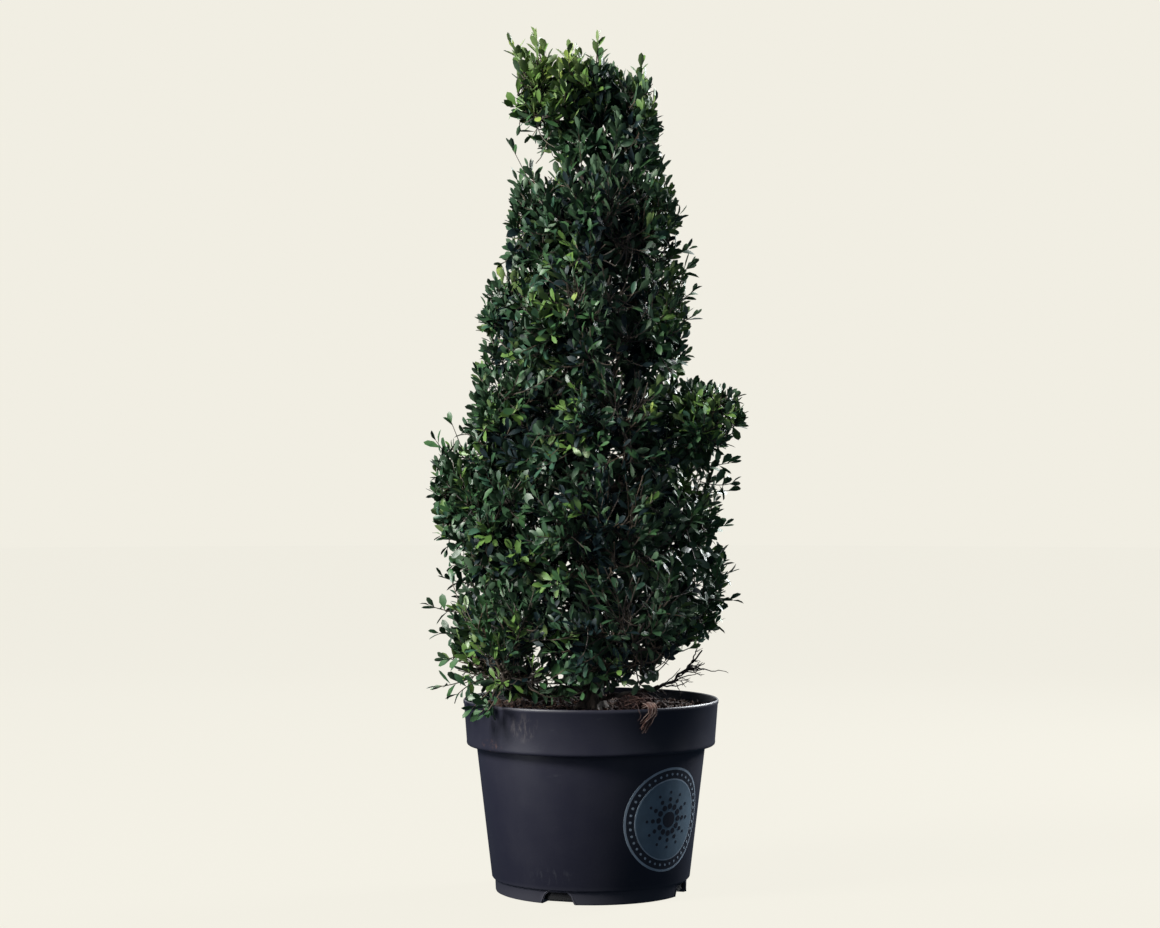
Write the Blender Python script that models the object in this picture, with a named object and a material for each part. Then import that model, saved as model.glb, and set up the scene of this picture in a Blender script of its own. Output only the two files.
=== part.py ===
"""A potted Japanese holly grown as a loose cone: pot, soil, trunk, boughs and leafy masses.

The origin is the middle of the pot's flat underside, +Z is up and -Y is the front.
Each bough is one tapering limb, and each leafy mass is one solid that keeps to its own space.
"""

import math
import random
from collections import namedtuple

import bmesh
import bpy
import numpy as np
from mathutils import Matrix, Vector, noise

# ---------------------------------------------------------------- driving dimensions, in metres
CLEARANCE = 0.0003  # between pieces that touch
SEED = 7

POT_HEIGHT = 0.210
RIM_RADIUS = 0.140
COLLAR_HEIGHT = 0.050
COLLAR_FOOT_RADIUS = 0.1360
WALL_TOP_RADIUS = 0.1255
WALL_FOOT_RADIUS = 0.1085
FOOT_HEIGHT = 0.015
FOOT_RADIUS = 0.1045
POT_WALL = 0.0025
POT_FLOOR = 0.004
POT_STEPS = 48
LIP = 0.0012
DRAIN_COUNT = 4
DRAIN_FIRST_DEG = -110.0
DRAIN_WIDTH = 0.038
DRAIN_HEIGHT = 0.013
DRAIN_DEPTH = 0.020

SOIL_TOP = 0.198
SOIL_STEPS = 24
SOIL_FLAT_RADIUS = 0.030
SOIL_RELIEF = 0.0035

TRUNK_HEIGHT = 0.605
TRUNK_FOOT_RADIUS = 0.0115
TRUNK_TIP_RADIUS = 0.0035
TRUNK_SIDES = 10
TRUNK_RINGS = 18
ROOT_FLARE = 0.75  # share of the foot radius that the flare adds
FLARE_HEIGHT = 0.012
FLARE_LOBES = 5

BOUGH_SIDES = 6
BOUGH_RINGS = 5
BOUGH_FOOT_RADIUS = 0.0062
BOUGH_FOOT_SHARE = 0.62  # thickest a bough's foot may be, as a share of the trunk there
BOUGH_TIP_RADIUS = 0.0026
BOUGH_BEND = (0.55, 0.25)  # how far out and up its curve turns, as shares of the way
ENTRY_SIDE = (-0.60, 0.0, -0.80)  # where a bough enters a mass: its inner, lower side
ENTRY_SHARE = 0.97
LOWEST_BOUGH = 0.036  # share of the trunk below which no bough leaves it

CORE_SHARE = 0.96  # size of a mass's dense core towards its neighbours, as a share of its reach
CORE_OUTER_SHARE = 0.60  # the same on its outer side
CORE_LEAST = 0.006
CORE_PASSES = 12
CORE_STEP = 0.08  # how far each pass draws a core in where a limb is close
LEAF_LENGTH = 0.038
LEAF_WIDTH = 0.021
LEAF_THICKNESS = 0.0024
LEAVES_PER_SHOOT = 2
MAIN_TWIGS = 4
SHOOTS = 7
MAIN_SHARE = 0.55  # how far a main twig goes, as a share of the reach
TIP_MARGIN = 0.66  # how far inside the reach a shoot ends, as a share of a leaf's length
TIP_LEAF_SUNK = 0.30  # how far down its shoot the leaf at the tip starts, as a share of its length
SIDE_LEAF_LEAN = 1.05
SIDE_LEAF_SUNK = 0.0008  # how deep a leaf's root goes past the middle of its shoot
TIP_LEAF_LEAN = 0.12
SHORTEST_SHOOT = 0.008
STEM_RADIUS = 0.0026
STEM_STRAIGHT = 0.006  # how far a stem runs on in line with its bough
TWIG_RADIUS = 0.0016
GOLDEN_ANGLE = math.radians(137.5)

FULLNESS = 2.8  # 2 gives egg-shaped spaces, more gives fuller corners
SEAM = 0.02  # gap between the spaces of two masses, as a share of their size
LIMB_GAP = 0.0035  # between leaves and limbs
MARCH_STEP = 0.002

# Tiers of masses round the trunk. Each has its centre height, its shift along X, ring radius, how
# many masses, first azimuth in degrees, radial and vertical half size, how far below its entry a
# bough leaves the trunk, how much higher the +X side lies than the middle, and how the radius
# changes with height.
Tier = namedtuple("Tier", "height shift ring count first radial vertical drop rise slope")
TIERS = {
    "skirt": Tier(0.286, -0.006, 0.102, 5, 8.0, 0.062, 0.076, 0.004, 0.022, 0.06),
    "lower": Tier(0.400, -0.010, 0.100, 5, -72.0, 0.062, 0.074, 0.075, 0.0, -0.06),
    "middle": Tier(0.512, -0.008, 0.084, 4, -65.0, 0.053, 0.074, 0.085, 0.0, -0.16),
    "upper": Tier(0.622, -0.006, 0.070, 4, -90.0, 0.054, 0.072, 0.080, 0.0, -0.16),
    "crest": Tier(0.730, 0.003, 0.053, 4, -90.0, 0.050, 0.078, 0.075, 0.0, -0.18),
}
TIER_LEAD = (1.0, 0.0, 0.1)  # outward, sideways and up: the way a mass's leading shoot goes
ROUND_SPREAD = 1.30  # half width of a mass round the trunk, as a share of half its spacing
BOUGH_STAGGER = 0.007  # how much lower each next bough of a tier leaves the trunk

# Single tufts: centre, azimuth in degrees, the three half sizes (outward, round, up), bough drop,
# and the way their leading shoot goes (outward, sideways, up).
TUFTS = {
    "left_shoulder": ((-0.134, -0.012, 0.436), 180.0, (0.048, 0.050, 0.062), 0.070, (1.0, 0.0, 0.3)),
    "right_shoulder": ((0.121, -0.043, 0.515), -20.0, (0.053, 0.050, 0.044), 0.050, (1.0, 0.0, 0.2)),
    "top_left": ((-0.060, -0.006, 0.870), 180.0, (0.030, 0.050, 0.076), 0.075, (0.1, 0.0, 1.0)),
    "top_middle": ((-0.002, 0.002, 0.866), 90.0, (0.048, 0.032, 0.076), None, (0.0, 0.0, 1.0)),
    "top_right": ((0.050, 0.002, 0.840), 0.0, (0.032, 0.050, 0.072), 0.060, (0.0, 0.0, 1.0)),
}

BARE_BRANCH = (
    (0.009, -0.004, 0.2110),
    (0.048, -0.028, 0.2170),
    (0.092, -0.048, 0.2320),
    (0.119, -0.060, 0.2660),
)
BARE_RADIUS = 0.0028
BARE_TWIGS = 7

# A knot of root fibre lies inside the rim, and its strands hang over it.
ROOT_AZIMUTH_DEG = -64.0
ROOT_KNOT_RADIUS = 0.115  # its distance from the trunk's foot
ROOT_KNOT_HEIGHT = 0.2105
ROOT_KNOT = (0.0120, 0.0160, 0.0080)  # half sizes outward, sideways and up
ROOT_STRANDS = 5
ROOT_SPREAD_DEG = 2.6  # between neighbouring strands
ROOT_STRAND_RADIUS = 0.0018
ROOT_HANG = 0.024  # how far below the rim the longest strand reaches

COLOURS = {
    "pot_plastic": ((0.030, 0.030, 0.040), 0.45),
    "soil": ((0.060, 0.032, 0.020), 0.95),
    "bark": ((0.130, 0.100, 0.075), 0.85),
    "foliage": ((0.030, 0.085, 0.030), 0.40),
    "root_fibre": ((0.150, 0.065, 0.035), 0.90),
}


# ---------------------------------------------------------------- meshes and objects
def material(name):
    """The named material, made on first use."""
    found = bpy.data.materials.get(name)
    if found:
        return found
    made = bpy.data.materials.new(name)
    made.use_nodes = True
    shader = made.node_tree.nodes["Principled BSDF"]
    colour, roughness = COLOURS[name]
    shader.inputs["Base Color"].default_value = (*colour, 1.0)
    shader.inputs["Roughness"].default_value = roughness
    shader.inputs["Metallic"].default_value = 0.0
    return made


def add_object(name, bm, material_name, collection=None):
    """A mesh object made from bm, with its faces turned outwards."""
    bmesh.ops.recalc_face_normals(bm, faces=bm.faces)
    mesh = bpy.data.meshes.new(name)
    bm.to_mesh(mesh)
    bm.free()
    mesh.materials.append(material(material_name))
    made = bpy.data.objects.new(name, mesh)
    (collection or bpy.context.scene.collection).objects.link(made)
    return made


def bridge_rings(bm, rings):
    """Joins rings of vertices, each with the same count, by quads, and caps both ends."""
    for lower, upper in zip(rings, rings[1:]):
        for i in range(len(lower)):
            j = (i + 1) % len(lower)
            bm.faces.new((lower[i], lower[j], upper[j], upper[i]))
    bm.faces.new(reversed(rings[0]))
    bm.faces.new(rings[-1])


def tube(bm, points, radii, sides, lobes=None):
    """Adds a closed tube along points, and returns its rings. lobes(ring, angle) scales a ring's radius."""
    rings = []
    side = Vector((1.0, 0.0, 0.0))
    last = len(points) - 1
    for n, (point, radius) in enumerate(zip(points, radii)):
        along = (points[min(n + 1, last)] - points[max(n - 1, 0)]).normalized()
        side = (side - along * side.dot(along)).normalized()
        other = along.cross(side)
        ring = []
        for i in range(sides):
            angle = 2 * math.pi * i / sides
            size = radius * (lobes(n, angle) if lobes else 1.0)
            offset = side * math.cos(angle) + other * math.sin(angle)
            ring.append(bm.verts.new(point + offset * size))
        rings.append(ring)
    bridge_rings(bm, rings)
    return rings


def turned(profile, steps, lift=None):
    """A closed turned shape. The profile runs from the axis to the axis, lift(x, y, z) adds relief."""
    bm = bmesh.new()
    rings = []
    for radius, height in profile:
        ring = []
        for i in range(steps):
            angle = 2 * math.pi * i / steps
            x, y = radius * math.cos(angle), radius * math.sin(angle)
            z = height + (lift(x, y, height) if lift else 0.0)
            ring.append(bm.verts.new((x, y, z)))
        rings.append(ring)
    bridge_rings(bm, rings)
    return bm


def boolean(target, operation, other=None, collection=None):
    """Adds a Boolean modifier to target."""
    modifier = target.modifiers.new(operation.lower(), "BOOLEAN")
    modifier.operation = operation
    modifier.solver = "EXACT"
    if collection:
        modifier.operand_type = "COLLECTION"
        modifier.collection = collection
        modifier.solver = "MANIFOLD"
    else:
        modifier.object = other
    return modifier


def as_cutter(cutter):
    """Marks a helper that only cuts others."""
    cutter.hide_render = True
    cutter.display_type = "WIRE"
    return cutter


def smooth(made, angle_deg=40.0):
    """Smooth shading with sharp edges kept."""
    made.data.shade_smooth()
    made.data.set_sharp_from_angle(angle=math.radians(angle_deg))


# ---------------------------------------------------------------- pot and soil
def make_pot():
    """A turned plastic pot with a stepped collar and drain notches in its foot."""
    collar_foot = POT_HEIGHT - COLLAR_HEIGHT
    profile = (
        (0.004, 0.0),
        (FOOT_RADIUS - 0.002, 0.0),
        (FOOT_RADIUS, 0.002),
        (FOOT_RADIUS + 0.0005, FOOT_HEIGHT),
        (WALL_FOOT_RADIUS, FOOT_HEIGHT + 0.001),
        (WALL_TOP_RADIUS, collar_foot),
        (COLLAR_FOOT_RADIUS - LIP, collar_foot + 0.0005),
        (COLLAR_FOOT_RADIUS, collar_foot + 0.002),
        (RIM_RADIUS, POT_HEIGHT - LIP),
        (RIM_RADIUS - LIP, POT_HEIGHT),
        (RIM_RADIUS - POT_WALL, POT_HEIGHT - LIP),
        (COLLAR_FOOT_RADIUS - POT_WALL, collar_foot + POT_WALL),
        (WALL_TOP_RADIUS - POT_WALL, collar_foot),
        (FOOT_RADIUS - POT_WALL, POT_FLOOR),
        (0.004, POT_FLOOR),
    )
    pot = add_object("pot", turned(profile, POT_STEPS), "pot_plastic")
    smooth(pot)
    for k in range(DRAIN_COUNT):
        turn = math.radians(DRAIN_FIRST_DEG + 360.0 * k / DRAIN_COUNT)
        boolean(pot, "DIFFERENCE", drain_cutter(k, turn))
    return pot


def drain_cutter(index, turn):
    """A wedge with a narrower top, through the pot's foot at one azimuth."""
    bm = bmesh.new()
    below, inner, outer = -0.002, FOOT_RADIUS - DRAIN_DEPTH, WALL_FOOT_RADIUS + 0.01
    half_foot, half_top = DRAIN_WIDTH / 2, DRAIN_WIDTH * 0.34
    section = ((-half_foot, below), (half_foot, below), (half_top, DRAIN_HEIGHT), (-half_top, DRAIN_HEIGHT))
    rings = [[bm.verts.new((x, y, z)) for y, z in section] for x in (inner, outer)]
    bridge_rings(bm, rings)
    bm.transform(Matrix.Rotation(turn, 4, "Z"))
    return as_cutter(add_object(f"drain_cutter_{index}", bm, "pot_plastic"))


def soil_relief(x, y, z):
    """Small lumps on the soil's top, flat round the trunk and level at the pot's wall."""
    radius = math.hypot(x, y)
    if z < SOIL_TOP - 0.004 or radius <= SOIL_FLAT_RADIUS + 0.001:
        return 0.0
    return SOIL_RELIEF * noise.noise(Vector((x * 34.0, y * 34.0, 3.7)))


def make_soil():
    """The potting soil that fills the pot, clear of its wall all round."""
    collar_foot = POT_HEIGHT - COLLAR_HEIGHT
    gap = POT_WALL + CLEARANCE * 1.6
    slope = (RIM_RADIUS - COLLAR_FOOT_RADIUS) / COLLAR_HEIGHT
    edge = SOIL_TOP - 0.002
    edge_radius = COLLAR_FOOT_RADIUS - gap + slope * (edge - collar_foot)
    profile = (
        (0.004, POT_FLOOR + CLEARANCE),
        (FOOT_RADIUS - gap - 0.0005, POT_FLOOR + CLEARANCE),
        (WALL_TOP_RADIUS - gap, collar_foot + CLEARANCE),
        (COLLAR_FOOT_RADIUS - gap - 0.0005, collar_foot + POT_WALL + CLEARANCE * 2),
        (edge_radius, edge - 0.004),
        (edge_radius - 0.004, edge),
        (0.108, SOIL_TOP),
        (0.082, SOIL_TOP + 0.001),
        (0.056, SOIL_TOP),
        (SOIL_FLAT_RADIUS, SOIL_TOP),
        (0.004, SOIL_TOP),
    )
    soil = add_object("soil", turned(profile, SOIL_STEPS, soil_relief), "soil")
    smooth(soil)
    return soil


# ---------------------------------------------------------------- limbs
def trunk_point(share):
    """A point on the trunk's axis: it leans a little and bends twice on its way up."""
    height = share * TRUNK_HEIGHT
    x = 0.010 * share - 0.006 + 0.006 * math.cos(share * 7.0)
    y = 0.005 * math.sin(share * 6.0)
    return Vector((x, y, SOIL_TOP + CLEARANCE + height))


def trunk_radius(share):
    """Taper only, without the root flare."""
    return TRUNK_FOOT_RADIUS + (TRUNK_TIP_RADIUS - TRUNK_FOOT_RADIUS) * share**0.8


def flare(share, angle):
    """How much wider than its taper the trunk's foot is."""
    fall = math.exp(-share * TRUNK_HEIGHT / FLARE_HEIGHT)
    return 1.0 + ROOT_FLARE * fall * (0.6 + 0.4 * math.cos(FLARE_LOBES * angle))


def trunk_shape(extra=0.0):
    """The trunk's mesh, grown all round by extra."""
    shares = [(n / (TRUNK_RINGS - 1)) ** 1.3 for n in range(TRUNK_RINGS)]
    points = [trunk_point(share) for share in shares]
    if extra:
        points[0] -= Vector((0, 0, extra))
        points[-1] += Vector((0, 0, extra))
    radii = [trunk_radius(share) + extra for share in shares]
    bm = bmesh.new()
    rings = tube(bm, points, radii, TRUNK_SIDES, lambda n, angle: flare(shares[n], angle))
    for vertex in rings[0]:
        vertex.co.z = points[0].z
    return bm


def curve_points(start, bend, end, count):
    """Points of a quadratic curve."""
    shares = [n / (count - 1) for n in range(count)]
    return [start * (1 - t) ** 2 + bend * 2 * t * (1 - t) + end * t**2 for t in shares]


class Limbs:
    """The lines of every limb made so far, for keeping leaves clear of them."""

    def __init__(self):
        self.starts, self.ends, self.radii = [], [], []

    def add(self, points, radii):
        for a, b, radius in zip(points, points[1:], radii):
            self.starts.append(tuple(a))
            self.ends.append(tuple(b))
            self.radii.append(radius)

    def freeze(self):
        self.a = np.array(self.starts)
        self.ab = np.array(self.ends) - self.a
        self.length2 = (self.ab**2).sum(1)
        self.r = np.array(self.radii)

    def gap(self, point):
        """Distance from point to the nearest limb's surface."""
        to_point = np.array(point) - self.a
        t = np.clip((to_point * self.ab).sum(1) / self.length2, 0, 1)
        away = np.linalg.norm(to_point - self.ab * t[:, None], axis=1) - self.r
        return float(away.min())


# ---------------------------------------------------------------- the spaces that masses keep to
class Mass:
    """One leafy mass: a rounded space, less what lies nearer to its neighbours.

    The space of a mass in a tier bends round the trunk, and leans in with the crown.
    """

    def __init__(self, name, centre, azimuth_deg, half_sizes, bough_drop, lead, tier=None):
        self.name = name
        self.centre = Vector(centre)
        self.azimuth = math.radians(azimuth_deg)
        self.outward = Vector((math.cos(self.azimuth), math.sin(self.azimuth), 0.0))
        self.sideways = Vector((-math.sin(self.azimuth), math.cos(self.azimuth), 0.0))
        self.half_sizes = half_sizes
        self.bough_drop = bough_drop
        self.lead = self.turn(lead)
        self.tier = tier

    def offset(self, point):
        """How far outward, sideways and up a point is from the centre."""
        up = point.z - self.centre.z
        if self.tier is None:
            out = point - self.centre
            return out.dot(self.outward), out.dot(self.sideways), up
        x = point.x - self.tier.shift
        turn = math.remainder(math.atan2(point.y, x) - self.azimuth, 2 * math.pi)
        ring = self.tier.ring + self.tier.slope * up
        return math.hypot(x, point.y) - ring, turn * ring, up

    def share(self, point):
        """How far out a point is in this mass's space: 0 at its centre, 1 on its skin."""
        parts = (abs(away / half) ** FULLNESS for away, half in zip(self.offset(point), self.half_sizes))
        return sum(parts) ** (1 / FULLNESS)

    def turn(self, direction):
        """A direction given as outward, sideways and up, in the world."""
        x, y, z = direction
        return (self.outward * x + self.sideways * y + Vector((0, 0, z))).normalized()


def all_masses():
    """The tiers' masses in a ring each, and the single tufts."""
    masses = []
    for name, tier in TIERS.items():
        half_sizes = (tier.radial, math.pi * tier.ring / tier.count * ROUND_SPREAD, tier.vertical)
        for k in range(tier.count):
            azimuth = tier.first + 360.0 * k / tier.count
            across, along = math.cos(math.radians(azimuth)), math.sin(math.radians(azimuth))
            centre = (tier.shift + tier.ring * across, tier.ring * along, tier.height + tier.rise * across)
            drop = tier.drop + BOUGH_STAGGER * k
            label = f"{name}_foliage_{k + 1}"
            masses.append(Mass(label, centre, azimuth, half_sizes, drop, TIER_LEAD, tier))
    for name, values in TUFTS.items():
        masses.append(Mass(f"{name}_foliage", *values))
    return masses


def clear_of_pot(point):
    """True above the rim, or outside it."""
    return point.z > POT_HEIGHT + 0.0015 or math.hypot(point.x, point.y) > RIM_RADIUS + 0.003


def in_space(mass, point, masses, limbs):
    """True if the point is in the mass's own space, clear of neighbours, limbs and pot."""
    own = mass.share(point)
    if own > 1.0 or not clear_of_pot(point):
        return False
    if any(other.share(point) < own + SEAM for other in masses if other is not mass):
        return False
    return limbs.gap(point) > LIMB_GAP


def reach(mass, direction, masses, limbs):
    """How far the space goes from the mass's centre along a direction."""
    distance = MARCH_STEP
    while in_space(mass, mass.centre + direction * distance, masses, limbs):
        distance += MARCH_STEP
    return distance - MARCH_STEP


# ---------------------------------------------------------------- boughs
def trunk_share_at(height):
    """The trunk's share at a height above the pot's underside."""
    return (height - SOIL_TOP - CLEARANCE) / TRUNK_HEIGHT


def bough_line(mass, masses, trunk_only):
    """A curve from the trunk's axis up and out to where it enters the mass."""
    inward = mass.turn(ENTRY_SIDE)
    entry = mass.centre + inward * (reach(mass, inward, masses, trunk_only) * ENTRY_SHARE)
    root_share = max(LOWEST_BOUGH, trunk_share_at(entry.z - mass.bough_drop))
    root = trunk_point(root_share)
    way = entry - root
    out, up = BOUGH_BEND
    points = curve_points(root, root + Vector((way.x * out, way.y * out, way.z * up)), entry, BOUGH_RINGS)
    foot = min(BOUGH_FOOT_RADIUS, trunk_radius(root_share) * BOUGH_FOOT_SHARE)
    shares = [n / (BOUGH_RINGS - 1) for n in range(BOUGH_RINGS)]
    return points, [foot + (BOUGH_TIP_RADIUS - foot) * share for share in shares]


def make_bough(name, points, radii, trunk_clearance):
    """A tapering limb whose foot is cut to the trunk's surface."""
    bm = bmesh.new()
    tube(bm, points, radii, BOUGH_SIDES)
    bough = add_object(name, bm, "bark")
    boolean(bough, "DIFFERENCE", trunk_clearance)
    smooth(bough, 60.0)
    return bough


# ---------------------------------------------------------------- twigs and leaves
def golden_directions(mass, count, rng):
    """Directions spread evenly over the outer side of a mass by the golden angle."""
    total = int(count * 1.5)
    directions = []
    for k in range(total):
        across = 1.0 - 2.0 * (k + 0.5) / total
        ring = math.sqrt(1.0 - across * across)
        angle = k * GOLDEN_ANGLE + rng.uniform(-0.15, 0.15)
        if across > -0.34:
            directions.append(mass.turn((across, ring * math.cos(angle), ring * math.sin(angle))))
    return directions


def leaf_corners(root, direction, face, length):
    """Six corners of a leaf: root, two sides, tip, and the middle of its upper and lower face."""
    side = direction.cross(face).normalized()
    face = side.cross(direction).normalized()
    width = LEAF_WIDTH * length / LEAF_LENGTH
    middle = root + direction * (length * 0.58)
    return (
        root,
        middle + side * (width / 2),
        root + direction * length,
        middle - side * (width / 2),
        middle + face * (LEAF_THICKNESS / 2),
        middle - face * (LEAF_THICKNESS / 2),
    )


def leaf_fits(corners, mass, masses, limbs):
    """Tests the leaf's corners and the middles of its edges, except at its sunk root."""
    root, left, tip, right = corners[:4]
    tested = (left, tip, right, (left + tip) / 2, (right + tip) / 2, (left + root) / 2, (right + root) / 2)
    return all(in_space(mass, point, masses, limbs) for point in tested)


def add_leaf(bm, corners):
    """Eight faces between the six corners."""
    root, left, tip, right, top, bottom = (bm.verts.new(corner) for corner in corners)
    outline = (root, left, tip, right)
    for i in range(4):
        a, b = outline[i], outline[(i + 1) % 4]
        bm.faces.new((a, b, top))
        bm.faces.new((b, a, bottom))


def pieces_of(mass, tip, tip_along, masses, limbs, rng):
    """Every piece to be fused in a mass, each as its own bmesh: stem, twigs and leaves."""
    stem = bmesh.new()
    line = [tip + tip_along * CLEARANCE, tip + tip_along * STEM_STRAIGHT, mass.centre]
    tube(stem, line, [STEM_RADIUS] * 3, 3)
    pieces = [stem]
    mains = []
    for direction in golden_directions(mass, MAIN_TWIGS, rng):
        end = mass.centre + direction * (reach(mass, direction, masses, limbs) * MAIN_SHARE)
        mains.append((direction, end))
        twig = bmesh.new()
        tube(twig, [mass.centre, end], [STEM_RADIUS, TWIG_RADIUS], 3)
        pieces.append(twig)
    for direction in [mass.lead, *golden_directions(mass, SHOOTS, rng)[1:]]:
        length = reach(mass, direction, masses, limbs) - LEAF_LENGTH * TIP_MARGIN
        if length < SHORTEST_SHOOT:
            continue
        parent_end = max(mains, key=lambda main: main[0].dot(direction))[1]
        start = mass.centre.lerp(parent_end, 0.5)
        end = mass.centre + direction * length
        leaves = shoot_leaves(start, end, direction, mass, masses, limbs, rng)
        if leaves:
            twig = bmesh.new()
            tube(twig, [start, end], [TWIG_RADIUS, TWIG_RADIUS * 0.6], 3)
            pieces += [twig, *leaves]
    return pieces


def shoot_leaves(start, end, along, mass, masses, limbs, rng):
    """Leaves set alternately along a shoot's outer part, and one at its tip."""
    side = along.orthogonal().normalized()
    leaves = []
    for k in range(LEAVES_PER_SHOOT + 1):
        around = Matrix.Rotation(k * GOLDEN_ANGLE + rng.uniform(-0.3, 0.3), 3, along) @ side
        if k == LEAVES_PER_SHOOT:
            root, lean = end - along * (LEAF_LENGTH * TIP_LEAF_SUNK), TIP_LEAF_LEAN
        else:
            root, lean = start.lerp(end, 0.74 + 0.18 * k / LEAVES_PER_SHOOT), SIDE_LEAF_LEAN
        direction = (along + around * lean).normalized()
        root = root - direction * SIDE_LEAF_SUNK
        face = (along - direction * along.dot(direction)) + Vector((0, 0, 0.25))
        for scale in (1.0, 0.9, 0.8, 0.7):
            corners = leaf_corners(root, direction, face, LEAF_LENGTH * scale)
            if leaf_fits(corners, mass, masses, limbs):
                bm = bmesh.new()
                add_leaf(bm, corners)
                leaves.append(bm)
                break
    return leaves


def core_shape(mass, masses, limbs):
    """The dense middle of a mass: its space drawn in towards the centre, and further in at limbs."""
    bm = bmesh.new()
    bmesh.ops.create_icosphere(bm, subdivisions=2, radius=1.0)
    for vertex in bm.verts:
        direction = vertex.co.normalized()
        outer = max(0.0, direction.dot(mass.outward))
        share = CORE_SHARE + (CORE_OUTER_SHARE - CORE_SHARE) * outer
        vertex.co = mass.centre + direction * max(CORE_LEAST, reach(mass, direction, masses, limbs) * share)
    for _ in range(CORE_PASSES):
        tight = {v for face in bm.faces if not face_is_clear(face, limbs) for v in face.verts}
        for vertex in tight:
            vertex.co = vertex.co.lerp(mass.centre, CORE_STEP)
        if not tight:
            break
    return bm


def face_is_clear(face, limbs):
    """Tests a grid of points on a triangle for room to the limbs."""
    a, b, c = (v.co for v in face.verts)
    steps = 5
    for i in range(steps + 1):
        for j in range(steps + 1 - i):
            point = (a * i + b * j + c * (steps - i - j)) / steps
            if limbs.gap(point) < LIMB_GAP * 0.7:
                return False
    return True


def fused(name, shapes, material_name):
    """One solid from several shapes that overlap, by one union on a collection."""
    made = add_object(name, shapes[0], material_name)
    collection = bpy.data.collections.new(name + "_pieces")
    bpy.context.scene.collection.children.link(collection)
    for n, bm in enumerate(shapes[1:]):
        add_object(f"{name}_piece_{n}", bm, material_name, collection)
    boolean(made, "UNION", collection=collection)
    apply_modifiers(made)
    for piece in list(collection.objects):
        bpy.data.objects.remove(piece)
    bpy.data.collections.remove(collection)
    return made


def apply_modifiers(made):
    """Replaces an object's mesh by what its modifiers give."""
    graph = bpy.context.evaluated_depsgraph_get()
    mesh = bpy.data.meshes.new_from_object(made.evaluated_get(graph))
    made.modifiers.clear()
    made.data = mesh


# ---------------------------------------------------------------- bare branch
def bare_lines(rng):
    """The lines and radii of a leafless dead branch: its limb first, then its thin twigs."""
    p0, p1, p2, p3 = (Vector(p) for p in BARE_BRANCH)
    middle = p1.lerp(p2, 0.6)
    limb = curve_points(p0, p1, middle, 5) + curve_points(middle, p2, p3, 5)[1:]
    lines = [(limb, [BARE_RADIUS * (1 - 0.075 * n) for n in range(len(limb))])]
    for k in range(BARE_TWIGS):
        place = 3 + k * (len(limb) - 4) / BARE_TWIGS
        before, after = limb[int(place)], limb[int(place) + 1]
        start = before.lerp(after, place % 1)
        along = (after - before).normalized()
        side = Matrix.Rotation(k * GOLDEN_ANGLE, 3, along) @ along.orthogonal().normalized()
        end = start + (along * 0.9 + side * 0.7 + Vector((0.1, 0, 0.2))) * (0.020 + 0.012 * rng.random())
        lines.append(([start, end], [0.0012, 0.0006]))
    return lines


def make_bare_branch(lines, trunk_clearance):
    """The dead branch and its twigs as one solid, cut to the trunk's surface."""
    shapes = []
    for n, (points, radii) in enumerate(lines):
        bm = bmesh.new()
        tube(bm, points, radii, 5 if n == 0 else 3)
        shapes.append(bm)
    branch = fused("bare_branch", shapes, "bark")
    boolean(branch, "DIFFERENCE", trunk_clearance)
    return branch


# ---------------------------------------------------------------- root fibre
def root_lines():
    """The lines and radii of the strands: from the knot on the soil, over the rim and down."""
    lines = []
    for k in range(ROOT_STRANDS):
        azimuth = math.radians(ROOT_AZIMUTH_DEG + ROOT_SPREAD_DEG * (k - (ROOT_STRANDS - 1) / 2))
        hang = ROOT_HANG * (0.45 + 0.55 * abs(math.sin(2.1 * k + 1.2)))
        section = (
            (ROOT_KNOT_RADIUS, ROOT_KNOT_HEIGHT),
            (RIM_RADIUS - 0.0040, POT_HEIGHT + 0.0025),
            (RIM_RADIUS + 0.0017, POT_HEIGHT + 0.0009),
            (RIM_RADIUS + 0.0019, POT_HEIGHT - hang * 0.5),
            (RIM_RADIUS + 0.0040, POT_HEIGHT - hang),
        )
        points = [Vector((r * math.cos(azimuth), r * math.sin(azimuth), z)) for r, z in section]
        lines.append((points, [ROOT_STRAND_RADIUS * (1 - 0.15 * n) for n in range(len(points))]))
    return lines


def make_root_tuft(lines):
    """The knot and its strands as one solid."""
    bm = bmesh.new()
    bmesh.ops.create_icosphere(bm, subdivisions=2, radius=1.0)
    for vertex in bm.verts:
        swell = 1.0 + 0.25 * noise.noise(vertex.co * 2.3)
        vertex.co = Vector([c * half * swell for c, half in zip(vertex.co, ROOT_KNOT)])
    place = Matrix.Translation((ROOT_KNOT_RADIUS, 0.0, ROOT_KNOT_HEIGHT))
    bm.transform(Matrix.Rotation(math.radians(ROOT_AZIMUTH_DEG), 4, "Z") @ place)
    shapes = [bm]
    for points, radii in lines:
        strand = bmesh.new()
        tube(strand, points, radii, 4)
        shapes.append(strand)
    return fused("root_tuft", shapes, "root_fibre")


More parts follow.
